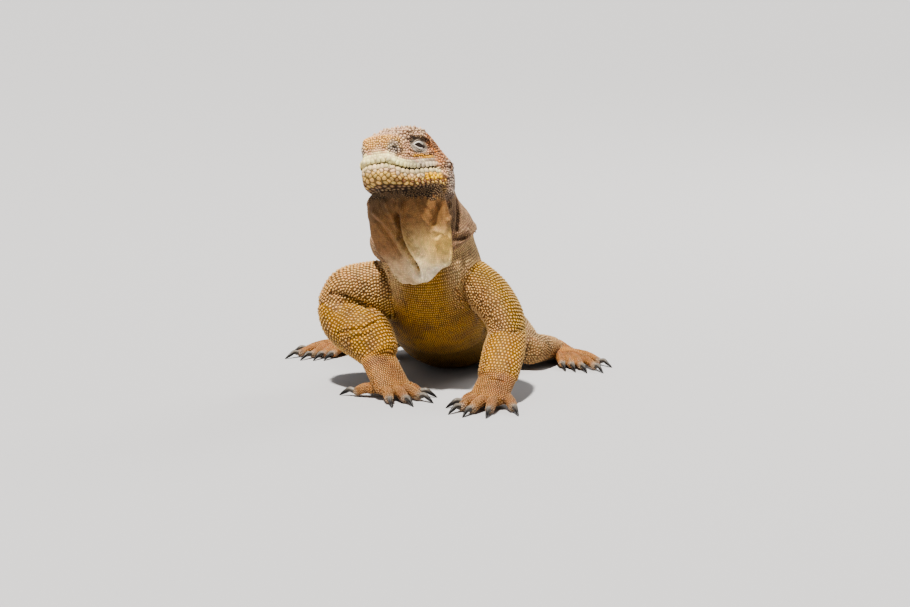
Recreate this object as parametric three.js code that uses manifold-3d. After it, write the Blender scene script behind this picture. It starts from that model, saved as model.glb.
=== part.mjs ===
// A Galapagos land iguana at life size, propped on its fore legs with its head raised and turned.
// Millimetres: +X is the animal's left, +Y runs back to the tail, +Z is up and the floor is Z = 0.
import * as THREE from "three";
import { mergeVertices } from "three/addons/utils/BufferGeometryUtils.js";
import Module from "manifold-3d";

const wasm = await Module();
wasm.setup();

// Driving dimensions
const GAP = 0.36; // what neighbouring pieces keep between them
const HEAD_LENGTH = 110; // snout tip to the end of the skull inside the neck
const SNOUT_TIP = new THREE.Vector3(-39, -92, 267);
const HEAD_TURN = 24.6; // degrees, towards the animal's right
const HEAD_LIFT = 14; // degrees, snout up
const HEAD_TILT = 11; // degrees, left side up
const EYE_RADIUS = 8;
const CLAW_LENGTH = 17;
const CREST_HEIGHT = 8; // of the tallest spine on the nape

const SKIN = new THREE.MeshStandardMaterial({ color: 0xb98a4a, roughness: 0.75 });
const THROAT_SKIN = new THREE.MeshStandardMaterial({ color: 0xb08a66, roughness: 0.8 });
const HEAD_SKIN = new THREE.MeshStandardMaterial({ color: 0xc0926a, roughness: 0.75 });
const HORN = new THREE.MeshStandardMaterial({ color: 0x4a4440, roughness: 0.45 });
const EYEBALL = new THREE.MeshStandardMaterial({ color: 0x1c1410, roughness: 0.12 });

// Rows of stations and the smooth values between them
function between(rows, t) {
  const last = rows.length - 1;
  const i = Math.min(Math.max(Math.floor(t), 0), last - 1);
  const f = t - i;
  const row = (k) => rows[Math.min(Math.max(k, 0), last)];
  return rows[i].map((_, c) => {
    const [a, b, d, e] = [row(i - 1)[c], row(i)[c], row(i + 1)[c], row(i + 2)[c]];
    return b + 0.5 * f * (d - a + f * (2 * a - 5 * b + 4 * d - e + f * (3 * (b - d) + e - a)));
  });
}

// The value of a table at a place, where the first column says the place.
function lookUp(rows, place) {
  const last = rows.length - 1;
  let i = 0;
  while (i < last - 1 && rows[i + 1][0] < place) i += 1;
  const f = (place - rows[i][0]) / (rows[i + 1][0] - rows[i][0]);
  return between(rows, i + Math.min(Math.max(f, 0), 1));
}

// Closed solids from geometries, and back
function solid(geometry) {
  const bare = new THREE.BufferGeometry().setAttribute("position", geometry.getAttribute("position"));
  if (geometry.index) bare.setIndex(geometry.index);
  const merged = mergeVertices(bare, 1e-4);
  const triVerts = new Uint32Array(merged.index.array);
  const vertProperties = merged.attributes.position.array;
  const make = () => new wasm.Manifold(new wasm.Mesh({ numProp: 3, vertProperties, triVerts }));
  const made = make();
  if (made.volume() > 0) return made;
  for (let i = 0; i < triVerts.length; i += 3) {
    [triVerts[i + 1], triVerts[i + 2]] = [triVerts[i + 2], triVerts[i + 1]];
  }
  return make();
}

const join = (first, ...rest) => rest.reduce((made, piece) => made.add(piece), first);
const carve = (first, ...tools) => tools.reduce((made, tool) => made.subtract(tool), first);

function largest(made) {
  return made.decompose().reduce((best, piece) => (piece.volume() > best.volume() ? piece : best));
}

// A sphere's grid, with every vertex put where place(turn, step) says, both from 0 to 1.
function shell(around, rings, place) {
  const geometry = new THREE.SphereGeometry(1, around, rings);
  const position = geometry.getAttribute("position");
  for (let i = 0; i < position.count; i += 1) {
    const ring = Math.floor(i / (around + 1));
    const turn = (i % (around + 1)) % around;
    const p = place(turn / around, ring / rings);
    position.setXYZ(i, p.x, p.y, p.z);
  }
  return solid(geometry);
}

// The middle, tangent, side and upper direction of a line of stations. The tangent is taken over a
// stretch long enough that neighbouring rings never cross at a tight bend.
const SIDEWAYS = new THREE.Vector3(1, 0, 0);
const TANGENT_REACH = 0.4;
function frameAt(rows, t, side = SIDEWAYS) {
  const last = rows.length - 1;
  const at = (k) => new THREE.Vector3(...between(rows, Math.min(Math.max(k, 0), last)).slice(0, 3));
  const tangent = at(t + TANGENT_REACH).sub(at(t - TANGENT_REACH)).normalize();
  const across = side.clone().addScaledVector(tangent, -side.dot(tangent)).normalize();
  return { middle: at(t), tangent, across, upper: across.clone().cross(tangent) };
}

// A rounded limb or trunk through stations [x, y, z, half width, upper half height, lower half height].
function loft(rows, options) {
  const { around = 14, steps = 8, side = SIDEWAYS, grow = 0, cap = 0.6, capRings = 2 } = options;
  const { from = 0, to = rows.length - 1 } = options;
  const rings = steps + 2 * capRings;
  return shell(around, rings, (turn, step) => {
    const ring = Math.round(step * rings);
    const t = from + (Math.min(Math.max(ring - capRings, 0), steps) / steps) * (to - from);
    const into = Math.max(capRings - ring, ring - capRings - steps, 0) / capRings;
    const end = ring < capRings ? -1 : 1;
    const { middle, tangent, across, upper } = frameAt(rows, t, side);
    const [, , , wide, up, down] = between(rows, t);
    const size = Math.cos((into * Math.PI) / 2);
    const angle = turn * 2 * Math.PI;
    const height = (Math.sin(angle) > 0 ? up : down) + grow;
    const reach = end * Math.sin((into * Math.PI) / 2) * ((cap * (wide + up + down)) / 3 + grow);
    return middle
      .addScaledVector(tangent, reach)
      .addScaledVector(across, (wide + grow) * size * Math.cos(angle))
      .addScaledVector(upper, height * size * Math.sin(angle));
  });
}

// A ball with three half axes along three directions.
function ball(middle, [right, back, top], [a, b, c], around = 12, rings = 8) {
  return shell(around, rings, (turn, step) => {
    const angle = turn * 2 * Math.PI;
    const fall = step * Math.PI;
    return middle
      .clone()
      .addScaledVector(right, a * Math.cos(angle) * Math.sin(fall))
      .addScaledVector(back, b * Math.sin(angle) * Math.sin(fall))
      .addScaledVector(top, c * Math.cos(fall));
  });
}

// Everything behind a plane, as a large block to cut with.
function blockBehind(point, direction) {
  const size = 3000;
  const geometry = new THREE.BoxGeometry(size, size, size).translate(0, 0, size / 2);
  const along = direction.clone().normalize();
  const turned = new THREE.Quaternion().setFromUnitVectors(new THREE.Vector3(0, 0, 1), along);
  return solid(geometry.applyQuaternion(turned).translate(point.x, point.y, point.z));
}
const underFloor = blockBehind(new THREE.Vector3(0, 0, 0), new THREE.Vector3(0, 0, -1));

// The head's own frame: s runs back from the snout tip, w to the animal's left and z up from the lips
const turnBy = THREE.MathUtils.degToRad(HEAD_TURN);
const liftBy = THREE.MathUtils.degToRad(HEAD_LIFT);
const tiltBy = THREE.MathUtils.degToRad(HEAD_TILT);
const headBack = new THREE.Vector3(
  Math.sin(turnBy) * Math.cos(liftBy),
  Math.cos(turnBy) * Math.cos(liftBy),
  -Math.sin(liftBy),
);
const headLeft = new THREE.Vector3(Math.cos(turnBy), -Math.sin(turnBy), 0).applyAxisAngle(headBack, -tiltBy);
const headUp = headLeft.clone().cross(headBack);
const onHead = (s, w, z) =>
  SNOUT_TIP.clone().addScaledVector(headBack, s).addScaledVector(headLeft, w).addScaledVector(headUp, z);
const headAxes = [headLeft, headBack, headUp];

// The lip line's height, by distance from the snout tip.
const MOUTH_CORNER = 62;
const MOUTH = [
  [-12, -4],
  [0, -5.2],
  [6, -8.4],
  [12, -9.8],
  [20, -10.4],
  [30, -9.8],
  [42, -7.6],
  [54, -5.3],
  [MOUTH_CORNER, -4.6],
  [HEAD_LENGTH, -6],
];
const mouthAt = (s) => lookUp(MOUTH, s)[1];

// The skull's half outline by distance from the snout: s, top z, brow w and z, side w and z, cheek w,
// upper lip w, lower lip w, jaw w and z, throat z.
const SKULL = [
  [0, 17, 9, 15, 10, 6, 9.5, 10.5, 9, 7, -14.5, -16],
  [1.5, 22, 15.5, 19, 17, 10, 15.5, 17, 15.5, 13, -18, -20.5],
  [5, 26, 19.5, 23, 21.3, 13, 20.5, 22.5, 21.5, 20, -21.5, -25],
  [11, 28.8, 20.5, 25.5, 23.5, 14, 23.5, 25.8, 25, 24.5, -24.5, -29],
  [20, 32, 20, 29, 24.5, 15.5, 25.5, 28.3, 28, 29.5, -27, -33],
  [30, 36, 20.5, 33, 25.8, 17, 28, 30.8, 31, 33, -28.5, -35.5],
  [42, 40.5, 23, 36.5, 27.6, 18, 30.8, 33.8, 34.3, 35.5, -30, -37],
  [54, 42.6, 24, 37, 30.5, 17, 33.8, 36.6, 37.2, 37, -31, -38],
  [66, 41.8, 23, 35.5, 33.5, 14, 36.8, 38.6, 39.6, 38.3, -31.5, -38],
  [77, 38.6, 21, 31.5, 34.8, 13, 38.6, 40, 41.2, 39, -31.5, -37],
  [88, 32.5, 18.5, 25.5, 32.5, 11, 38, 39.8, 41, 38.5, -32, -37],
  [99, 24, 14.5, 18, 26.5, 9, 32, 34, 35, 33.5, -29, -33],
  [HEAD_LENGTH, 15, 8, 12, 15, 7.5, 18, 19, 20, 19, -19, -22],
];

// One point of the skull's surface, where turn 0 is the crown and 0.5 the throat.
function skullPoint(turn, s, grow) {
  const [, top, browW, browZ, sideW, sideZ, cheekW, lipW, lowLipW, jawW, jawZ, throatZ] = lookUp(SKULL, s);
  const lips = mouthAt(s);
  const half = [
    [0, top],
    [browW * 0.55, top * 0.35 + browZ * 0.65 + 1],
    [browW, browZ],
    [sideW, sideZ],
    [cheekW, lips + 10.5],
    [lipW, lips + 4.2],
    [Math.min(lipW, lowLipW) - 1.8, lips],
    [lowLipW, lips - 4],
    [jawW, jawZ],
    [jawW * 0.5, (jawZ + throatZ) / 2 - 1],
    [0, throatZ],
  ];
  const count = half.length - 1;
  const mirrored = turn > 0.5;
  const t = (mirrored ? 1 - turn : turn) * 2 * count;
  const closed = [[-half[1][0], half[1][1]], ...half, [-half[count - 1][0], half[count - 1][1]]];
  const [w, z] = between(closed, t + 1);
  const bigger = 1 + grow / 26;
  return onHead(s, (mirrored ? -w : w) * bigger, z * bigger);
}

function skull(grow = 0, around = 28, rings = 18) {
  const first = -0.25;
  return shell(around, rings, (turn, step) => {
    if (step === 0) return onHead(first - grow, 0, 1);
    if (step === 1) return onHead(HEAD_LENGTH + 3 + grow, 0, 2);
    return skullPoint(turn, HEAD_LENGTH * step ** 1.45, grow);
  });
}

// Eyes, one on each side: the ball, its lids and the slit between them
const EYE = { s: 42, w: 19.4, z: 17 };
const eyeMiddle = (hand) => onHead(EYE.s, EYE.w * hand, EYE.z);
const LID_RADIUS = EYE_RADIUS + 1.6;
const eyeBall = (hand, grow = 0) =>
  ball(eyeMiddle(hand), headAxes, [EYE_RADIUS + grow, EYE_RADIUS + grow, EYE_RADIUS + grow], 14, 8);
const eyeLids = (hand) => ball(eyeMiddle(hand), headAxes, [LID_RADIUS, LID_RADIUS + 1.4, LID_RADIUS], 14, 10);
const slitMiddle = (hand) => onHead(EYE.s + 0.5, (EYE.w + 11) * hand, EYE.z + 0.3);
const lidSlit = (hand) => ball(slitMiddle(hand), headAxes, [7.5, 6.8, 3.3], 14, 8);

// Brow ridges, nostrils and ears.
const BROW = [
  [22, 22.5, 22.5, 2.6, 2, 2],
  [31, 24.2, 25.5, 3.2, 2.5, 2.5],
  [41, 26.2, 27.6, 3.6, 2.7, 2.7],
  [51, 28.4, 26.8, 3.4, 2.6, 2.6],
  [59, 30.4, 22.8, 2.6, 2, 2],
];
function browRidge(hand) {
  const rows = BROW.map(([s, w, z, ...sizes]) => [...onHead(s, w * hand, z).toArray(), ...sizes]);
  return loft(rows, { around: 7, steps: 5, side: headLeft, capRings: 1 });
}
const nostrilRim = (hand) => ball(onHead(6, 15.5 * hand, 12), headAxes, [6, 6.4, 5.6], 10, 6);
const nostrilPit = (hand) => ball(onHead(4.5, 21.4 * hand, 10.5), headAxes, [3, 2.2, 2], 8, 5);

// The upper and the lower lip: rolls of skin from one mouth corner round the snout to the other.
const LIP_PLACES = [58, 44, 30, 18, 8, 2];
function lip(height, inset, radius) {
  const place = (s, hand) => {
    const w = s === 0 ? 0 : (lookUp(SKULL, s)[height > 0 ? 7 : 8] - inset) * hand;
    const size = radius * (1 - 0.006 * s);
    return [...onHead(Math.max(s, inset), w, mouthAt(s) + height * size * 1.12).toArray(), size, size, size];
  };
  const left = LIP_PLACES.map((s) => place(s, 1));
  const right = [...LIP_PLACES].reverse().map((s) => place(s, -1));
  return loft([...left, place(0, 1), ...right], { around: 7, steps: 22, side: headUp, capRings: 1 });
}

const earHollow = (hand) => ball(onHead(87, 39.5 * hand, -1), headAxes, [5.5, 4.4, 7.4], 12, 8);

// A pointed scale or crest spine that stands on a surface, its root sunk below it.
function spine(root, outward, lean, height, width, sides = 6) {
  const tip = root.clone().addScaledVector(outward, height).addScaledVector(lean, height * 0.45);
  const sunk = root.clone().addScaledVector(outward, -2.5);
  const axis = tip.clone().sub(sunk);
  const cone = new THREE.ConeGeometry(width, axis.length(), sides).translate(0, axis.length() / 2, 0);
  const upright = new THREE.Vector3(0, 1, 0);
  cone.applyQuaternion(new THREE.Quaternion().setFromUnitVectors(upright, axis.normalize()));
  return solid(cone.translate(sunk.x, sunk.y, sunk.z));
}

// The crown's knobbly scales, in rows across it that get closer to the eyes.
function crownKnobs() {
  const knobs = [];
  const rowPlaces = [18, 27, 37, 47, 58];
  rowPlaces.forEach((s, row) => {
    const count = row % 2 === 0 ? 3 : 4;
    for (let k = 0; k < count; k += 1) {
      const share = ((k + 0.5) / count - 0.5) * 0.19;
      const turn = (share + 1) % 1;
      const root = skullPoint(turn, s, 0);
      const outward = root.clone().sub(onHead(s, 0, 8)).normalize();
      knobs.push(spine(root, outward, headBack, 1.6 + 0.25 * row, 3.2, 5));
    }
  });
  return knobs;
}

const bothSides = [-1, 1];
const skullWhole = carve(
  join(
    skull(),
    lip(1, 3, 4.6),
    lip(-1, 3.4, 4.2),
    ...crownKnobs(),
    ...bothSides.flatMap((hand) => [eyeLids(hand), browRidge(hand), nostrilRim(hand)]),
  ),
  ...bothSides.flatMap((hand) => [eyeBall(hand, GAP), lidSlit(hand), nostrilPit(hand), earHollow(hand)]),
);
const headRoom = skull(GAP * 1.8);

// A thin curved blade along the lips and down behind the jaw, which parts the jaw from the head.
function jawBlade() {
  const line = [];
  for (let s = -8; s <= MOUTH_CORNER; s += 5) line.push([s, mouthAt(s)]);
  line.push([MOUTH_CORNER + 5, -8], [MOUTH_CORNER + 12, -18], [MOUTH_CORNER + 20, -60]);
  const shape = new THREE.Shape();
  const thick = GAP * 1.5;
  line.forEach(([s, z], i) => (i ? shape.lineTo(s, z) : shape.moveTo(s, z)));
  line.reverse().forEach(([s, z]) => shape.lineTo(s + thick * 0.7, z + thick));
  const blade = new THREE.ExtrudeGeometry(shape, { depth: 140, bevelEnabled: false, steps: 1 });
  blade.translate(0, 0, -70);
  const toHead = new THREE.Matrix4().makeBasis(headBack, headUp, headLeft).setPosition(SNOUT_TIP);
  return solid(blade.applyMatrix4(toHead));
}
const headPieces = carve(skullWhole, jawBlade())
  .decompose()
  .sort((a, b) => b.volume() - a.volume());
const [head, jaw] = headPieces;

// Neck, trunk and tail, by stations [x, y, z, half width, back, belly]
const SPINE = [
  [-9, -36, 270, 28, 24, 26],
  [-13, -22, 250, 38, 34, 38],
  [-14, -10, 226, 43, 38, 44],
  [-11, -1, 200, 47, 41, 47],
  [-7, 6, 180, 56, 44, 49],
  [-6, 9, 169, 61, 46, 49],
  [-3, 13, 158, 53, 44, 47],
  [0, 18, 138, 56, 46, 49],
  [0, 36, 110, 60, 50, 55],
  [0, 66, 87, 65, 50, 56],
  [0, 102, 67, 66, 47, 54],
  [0, 138, 54, 68, 45, 56],
  [0, 172, 47, 65, 42, 50],
  [0, 203, 42, 54, 38, 43.5],
  [0, 230, 37, 41, 33, 38.5],
  [0, 262, 32, 32, 28, 33],
  [-2, 312, 25, 26, 23, 26],
  [-8, 365, 20.5, 21, 20, 21.3],
  [-20, 425, 17.2, 17.5, 17, 18],
  [-36, 488, 14.1, 14.2, 14, 14.9],
  [-52, 550, 11.4, 11.3, 11.5, 12.2],
  [-66, 612, 8.9, 8.8, 9, 9.7],
  [-74, 670, 6.7, 6.6, 6.8, 7.5],
  [-80, 725, 4.7, 4.6, 4.8, 5.5],
  [-84, 767, 3.1, 3.1, 3.2, 3.8],
  [-86, 797, 2, 1.8, 2, 2.6],
];
const FOLD = 5.6; // the station of the crease in front of the shoulders, where neck and trunk part
const WAIST = 9.5;
const RUMP = 14.4;
const TAIL_CUTS = [18.2, 21.1, 23.3];
const TAIL_TIP = SPINE.length - 1;

// The plain form of a length of the animal, which runs a little past both of its cuts.
function form({ from, to, around, steps }, grow = 0) {
  const start = from === 0 ? 0 : from - 0.3;
  const end = to === TAIL_TIP ? to : to + 0.3;
  return loft(SPINE, { around, steps, from: start, to: end, grow, cap: from === 0 ? 0.22 : 0.7 });
}

// A length between two stations with its spines, parted from the next one by a thin flat cut.
function lengthOf(part, spines = []) {
  const cuts = [];
  for (const [station, end] of [[part.from, -1], [part.to, 1]]) {
    if (station === 0 || station === TAIL_TIP) continue;
    const { middle, tangent } = frameAt(SPINE, station);
    cuts.push(blockBehind(middle.addScaledVector(tangent, (-end * GAP) / 2), tangent.multiplyScalar(end)));
  }
  return carve(join(form(part), ...spines), ...cuts, underFloor);
}

// A row of crest spines along the back between two stations.
function crest(from, to, count, height, width) {
  const made = [];
  for (let k = 0; k < count; k += 1) {
    const t = from + ((to - from) * (k + 0.5)) / count;
    const { middle, tangent, upper } = frameAt(SPINE, t);
    const root = middle.addScaledVector(upper, between(SPINE, t)[4]);
    const tall = height(k / (count - 1)) * (k % 2 ? 0.9 : 1);
    made.push(spine(root, upper, tangent, tall, width, 5));
  }
  return made;
}

const LENGTHS = {
  neck: { from: 0, to: FOLD, around: 24, steps: 11 },
  chest: { from: FOLD, to: WAIST, around: 24, steps: 9 },
  belly: { from: WAIST, to: RUMP, around: 24, steps: 8 },
  tail_base: { from: RUMP, to: TAIL_CUTS[0], around: 14, steps: 9 },
  tail_middle: { from: TAIL_CUTS[0], to: TAIL_CUTS[1], around: 12, steps: 8 },
  tail_end: { from: TAIL_CUTS[1], to: TAIL_CUTS[2], around: 10, steps: 6 },
  tail_tip: { from: TAIL_CUTS[2], to: TAIL_TIP, around: 8, steps: 5 },
};
const bodyRoom = join(form(LENGTHS.neck, GAP), form(LENGTHS.chest, GAP), form(LENGTHS.belly, GAP));
const napeCrest = crest(1.5, FOLD - 0.2, 10, (f) => CREST_HEIGHT * (0.65 + 0.35 * Math.sin(Math.PI * f)), 3);
const chestCrest = crest(FOLD + 0.3, WAIST - 0.1, 12, (f) => 4.8 - 0.8 * f, 2.4);
const bellyCrest = crest(WAIST + 0.1, RUMP - 0.2, 13, (f) => 4 - 0.8 * f, 2.3);
const tailCrest = crest(RUMP + 0.2, TAIL_CUTS[0] - 0.1, 9, (f) => 3.2 - 0.6 * f, 1.9);
const lateCrest = crest(TAIL_CUTS[0] + 0.1, TAIL_CUTS[1] - 0.1, 8, (f) => 2.6 - 0.8 * f, 1.7);
const spinal = {
  neck: largest(carve(lengthOf(LENGTHS.neck, napeCrest), headRoom)),
  chest: largest(lengthOf(LENGTHS.chest, chestCrest)),
  belly: largest(lengthOf(LENGTHS.belly, bellyCrest)),
  tail_base: largest(lengthOf(LENGTHS.tail_base, tailCrest)),
  tail_middle: largest(lengthOf(LENGTHS.tail_middle, lateCrest)),
  tail_end: largest(lengthOf(LENGTHS.tail_end)),
  tail_tip: largest(lengthOf(LENGTHS.tail_tip)),
};

// The dewlap: a lobe of loose skin from the chin to a free rounded edge in front of the chest.
const DEWLAP = [
  [-28, -46, 230, 38, 14, 15],
  [-20, -49, 218, 45.5, 16, 18],
  [-12, -50, 204, 47.5, 15, 18],
  [-9.6, -48, 182, 47.5, 12, 14],
  [-4.6, -45, 160, 41, 8, 10],
  [-3.5, -43, 142, 29, 5, 7],
  [1.5, -42.5, 130, 15, 3.6, 5],
];
const throatAcross = new THREE.Vector3(0.98, -0.2, 0);
const dewlapLoft = (grow = 0) => loft(DEWLAP, { around: 20, steps: 10, side: throatAcross, grow, cap: 0.5 });
const dewlap = largest(carve(dewlapLoft(), headRoom, bodyRoom));

// Limbs, each from the body outwards
const LIMBS = {
  fore_left: {
    upper: [
      [44, 18, 120, 25, 25, 26],
      [66, 12, 106, 26, 24, 24],
      [84, 0, 85, 24, 22, 22],
      [90, -10, 66, 22, 21, 20],
    ],
    lower: [
      [90, -9, 66, 21, 20, 20],
      [89, -26, 54, 23, 20, 20],
      [88, -42, 42, 23, 18, 17],
      [87, -56, 30, 22.5, 14, 14],
    ],
    wrist: [87, -56, 28],
    knuckles: [80, -86, 9.5],
    palm: [21, 22, 13, 8],
    pads: [[54, -82], [56, -108], [69, -118], [88, -118], [111, -102]],
    medial: -1,
  },
  fore_right: {
    upper: [
      [-42, 16, 120, 26, 22, 46],
      [-67, 15, 118, 26, 21, 42],
      [-93, 15, 109, 25, 23, 27],
      [-106, 14, 90, 22, 21, 21],
    ],
    lower: [
      [-105, 13, 88, 22, 22, 22],
      [-94, 3, 73, 26, 30, 25],
      [-69, -9, 63, 30, 34, 27],
      [-50, -24, 45, 23, 25, 17],
    ],
    wrist: [-50, -27, 38],
    knuckles: [-28, -53, 11],
    palm: [21, 22, 13, 8],
    pads: [[-3, -38], [1, -60], [-11, -76], [-27, -83], [-70, -48]],
    medial: 1,
  },
  hind_left: {
    upper: [
      [30, 212, 45, 27, 25, 26],
      [55, 184, 40, 27, 24, 25],
      [77, 155, 31, 23, 20, 21],
      [91, 132, 23, 19, 16, 18],
    ],
    lower: [
      [91, 132, 23, 19, 16, 17],
      [99, 155, 22, 19, 15.5, 17],
      [105, 182, 17.5, 16, 14, 15],
      [108, 203, 14, 13, 12, 12],
    ],
    wrist: [111, 208, 13],
    knuckles: [133, 176, 8],
    palm: [13, 17, 10, 6.5],
    pads: [[128, 148], [139, 144], [151, 140], [166, 142], [167, 172]],
    medial: -1,
  },
  hind_right: {
    upper: [
      [-30, 214, 45, 27, 25, 26],
      [-56, 192, 40, 27, 24, 25],
      [-79, 168, 31, 23, 20, 21],
      [-94, 148, 23, 19, 16, 18],
    ],
    lower: [
      [-94, 148, 23, 19, 16, 17],
      [-104, 170, 22, 19, 15.5, 17],
      [-112, 196, 17.5, 16, 14, 15],
      [-116, 216, 14, 13, 12, 12],
    ],
    wrist: [-119, 221, 13],
    knuckles: [-144, 190, 8],
    palm: [13, 17, 10, 6.5],
    pads: [[-141, 162], [-152, 159], [-165, 157], [-181, 161], [-178, 190]],
    medial: 1,
  },
};
const DIGIT_RADIUS = { fore: 6.2, hind: 5.4 };
const DIGIT_ARCH = 4; // how high a digit's middle stands over its ends

// A digit arches from its knuckle to a padded tip on the floor; the claw curves on down from there.
function digitRows(limb, index, radius) {
  const knuckles = new THREE.Vector3(...limb.knuckles);
  const along = knuckles.clone().sub(new THREE.Vector3(...limb.wrist)).setZ(0).normalize();
  const across = new THREE.Vector3(-along.y, along.x, 0);
  if (across.x * limb.medial < 0) across.negate();
  const share = 1 - index / 2; // 1 at the inner digit, -1 at the outer one
  const base = knuckles.clone().addScaledVector(across, share * (limb.palm[1] - radius));
  base.addScaledVector(along, (share > 0 ? -8 : -15) * share ** 2);
  const pad = new THREE.Vector3(...limb.pads[index], base.z);
  const ahead = pad.clone().sub(base).normalize();
  const low = radius - 0.7;
  const heights = [limb.knuckles[2] + 0.5, low + DIGIT_ARCH + 1, low + DIGIT_ARCH, low];
  const places = [-0.25, 0.2, 0.6, 1];
  const sizes = [1.05, 1.02, 0.98, 0.86];
  const rows = places.map((place, i) => {
    const p = base.clone().lerp(pad, place);
    return [p.x, p.y, heights[i], radius * sizes[i], radius * sizes[i], radius * sizes[i]];
  });
  return { rows, ahead, across: new THREE.Vector3(-ahead.y, ahead.x, 0) };
}

function clawRows(finger, radius) {
  const [x, y, z] = finger.rows[finger.rows.length - 1];
  const places = [0.1, 0.42, 0.74, 1];
  const heights = [z + 1.6, z + 1.9, z * 0.62, 0.4];
  const sizes = [0.52, 0.44, 0.3, 0.12];
  return places.map((place, i) => {
    const ahead = finger.ahead.clone().multiplyScalar(radius * 0.55 + place * CLAW_LENGTH);
    const high = radius * sizes[i];
    return [x + ahead.x, y + ahead.y, heights[i], high * 0.8, high, high];
  });
}

function limbNodes(name, limb) {
  const kind = name.startsWith("fore") ? "fore" : "hind";
  const radius = DIGIT_RADIUS[kind];
  const across = new THREE.Vector3(1, 0, 0);
  const upper = (grow) => loft(limb.upper, { around: 14, steps: 6, side: new THREE.Vector3(0, 1, 0), grow });
  const lower = (grow) => loft(limb.lower, { around: 14, steps: 6, side: across, grow });
  const wrist = new THREE.Vector3(...limb.wrist);
  const knuckles = new THREE.Vector3(...limb.knuckles);
  const palmSide = new THREE.Vector3(-(knuckles.y - wrist.y), knuckles.x - wrist.x, 0).normalize();
  const [wristHalf, knuckleHalf, wristThick, knuckleThick] = limb.palm;
  const palmMiddle = wrist.clone().lerp(knuckles, 0.5);
  const palmRows = [
    [...wrist.toArray(), wristHalf, wristThick, wristThick],
    [...palmMiddle.toArray(), (wristHalf + knuckleHalf) / 2, wristThick, (wristThick + knuckleThick) / 2],
    [...knuckles.toArray(), knuckleHalf, knuckleThick, knuckleThick + 1.5],
  ];
  const fingers = limb.pads.map((_, index) => digitRows(limb, index, radius));
  const fingerShape = { around: 7, steps: 4, cap: 0.8, capRings: 1 };
  const fingerLoft = (finger, grow = 0) => loft(finger.rows, { ...fingerShape, side: finger.across, grow });
  const palm = loft(palmRows, { around: 12, steps: 3, side: palmSide, cap: 0.6 });
  const paw = join(palm, ...fingers.map((finger) => fingerLoft(finger)));
  const names = kind === "fore" ? ["upper_arm", "forearm", "hand"] : ["thigh", "shin", "foot"];
  const hand = name.split("_")[1];
  const pieces = [
    [`${names[0]}_${hand}`, largest(carve(upper(0), underFloor, bodyRoom))],
    [`${names[1]}_${hand}`, largest(carve(lower(0), underFloor, upper(GAP), bodyRoom))],
    [`${names[2]}_${hand}`, largest(carve(paw, underFloor, lower(GAP), upper(GAP), bodyRoom))],
  ];
  fingers.forEach((finger, i) => {
    const clawShape = { around: 6, steps: 3, side: finger.across, cap: 0.8, capRings: 1 };
    const claw = loft(clawRows(finger, radius), clawShape);
    pieces.push([`claw_${name}_${i + 1}`, largest(carve(claw, underFloor, fingerLoft(finger, GAP)))]);
  });
  return pieces;
}

// The whole animal, with its origin on the floor under the middle of its box
const animal = new THREE.Group();
function addNode(name, made, material) {
  const mesh = made.getMesh();
  const geometry = new THREE.BufferGeometry();
  const position = new Float32Array(mesh.numVert * 3);
  for (let i = 0; i < mesh.numVert; i += 1) {
    position.set(mesh.vertProperties.subarray(i * mesh.numProp, i * mesh.numProp + 3), i * 3);
  }
  geometry.setAttribute("position", new THREE.BufferAttribute(position, 3));
  geometry.setIndex(new THREE.BufferAttribute(mesh.triVerts, 1));
  const node = new THREE.Mesh(geometry, material);
  node.name = name;
  animal.add(node);
}

addNode("head", head, HEAD_SKIN);
addNode("jaw", jaw, HEAD_SKIN);
addNode("eye_left", eyeBall(1), EYEBALL);
addNode("eye_right", eyeBall(-1), EYEBALL);
addNode("dewlap", dewlap, THROAT_SKIN);
for (const [name, made] of Object.entries(spinal)) addNode(name, made, SKIN);
for (const [name, limb] of Object.entries(LIMBS)) {
  for (const [node, made] of limbNodes(name, limb)) {
    addNode(node, made, node.startsWith("claw") ? HORN : SKIN);
  }
}

const box = new THREE.Box3().setFromObject(animal);
const middle = box.getCenter(new THREE.Vector3());
animal.position.set(-middle.x, -middle.y, -box.min.z);

export default animal;
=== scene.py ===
import math

import bpy
import numpy as np
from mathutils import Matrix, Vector
from mathutils.bvhtree import BVHTree
from mathutils.kdtree import KDTree


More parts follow.
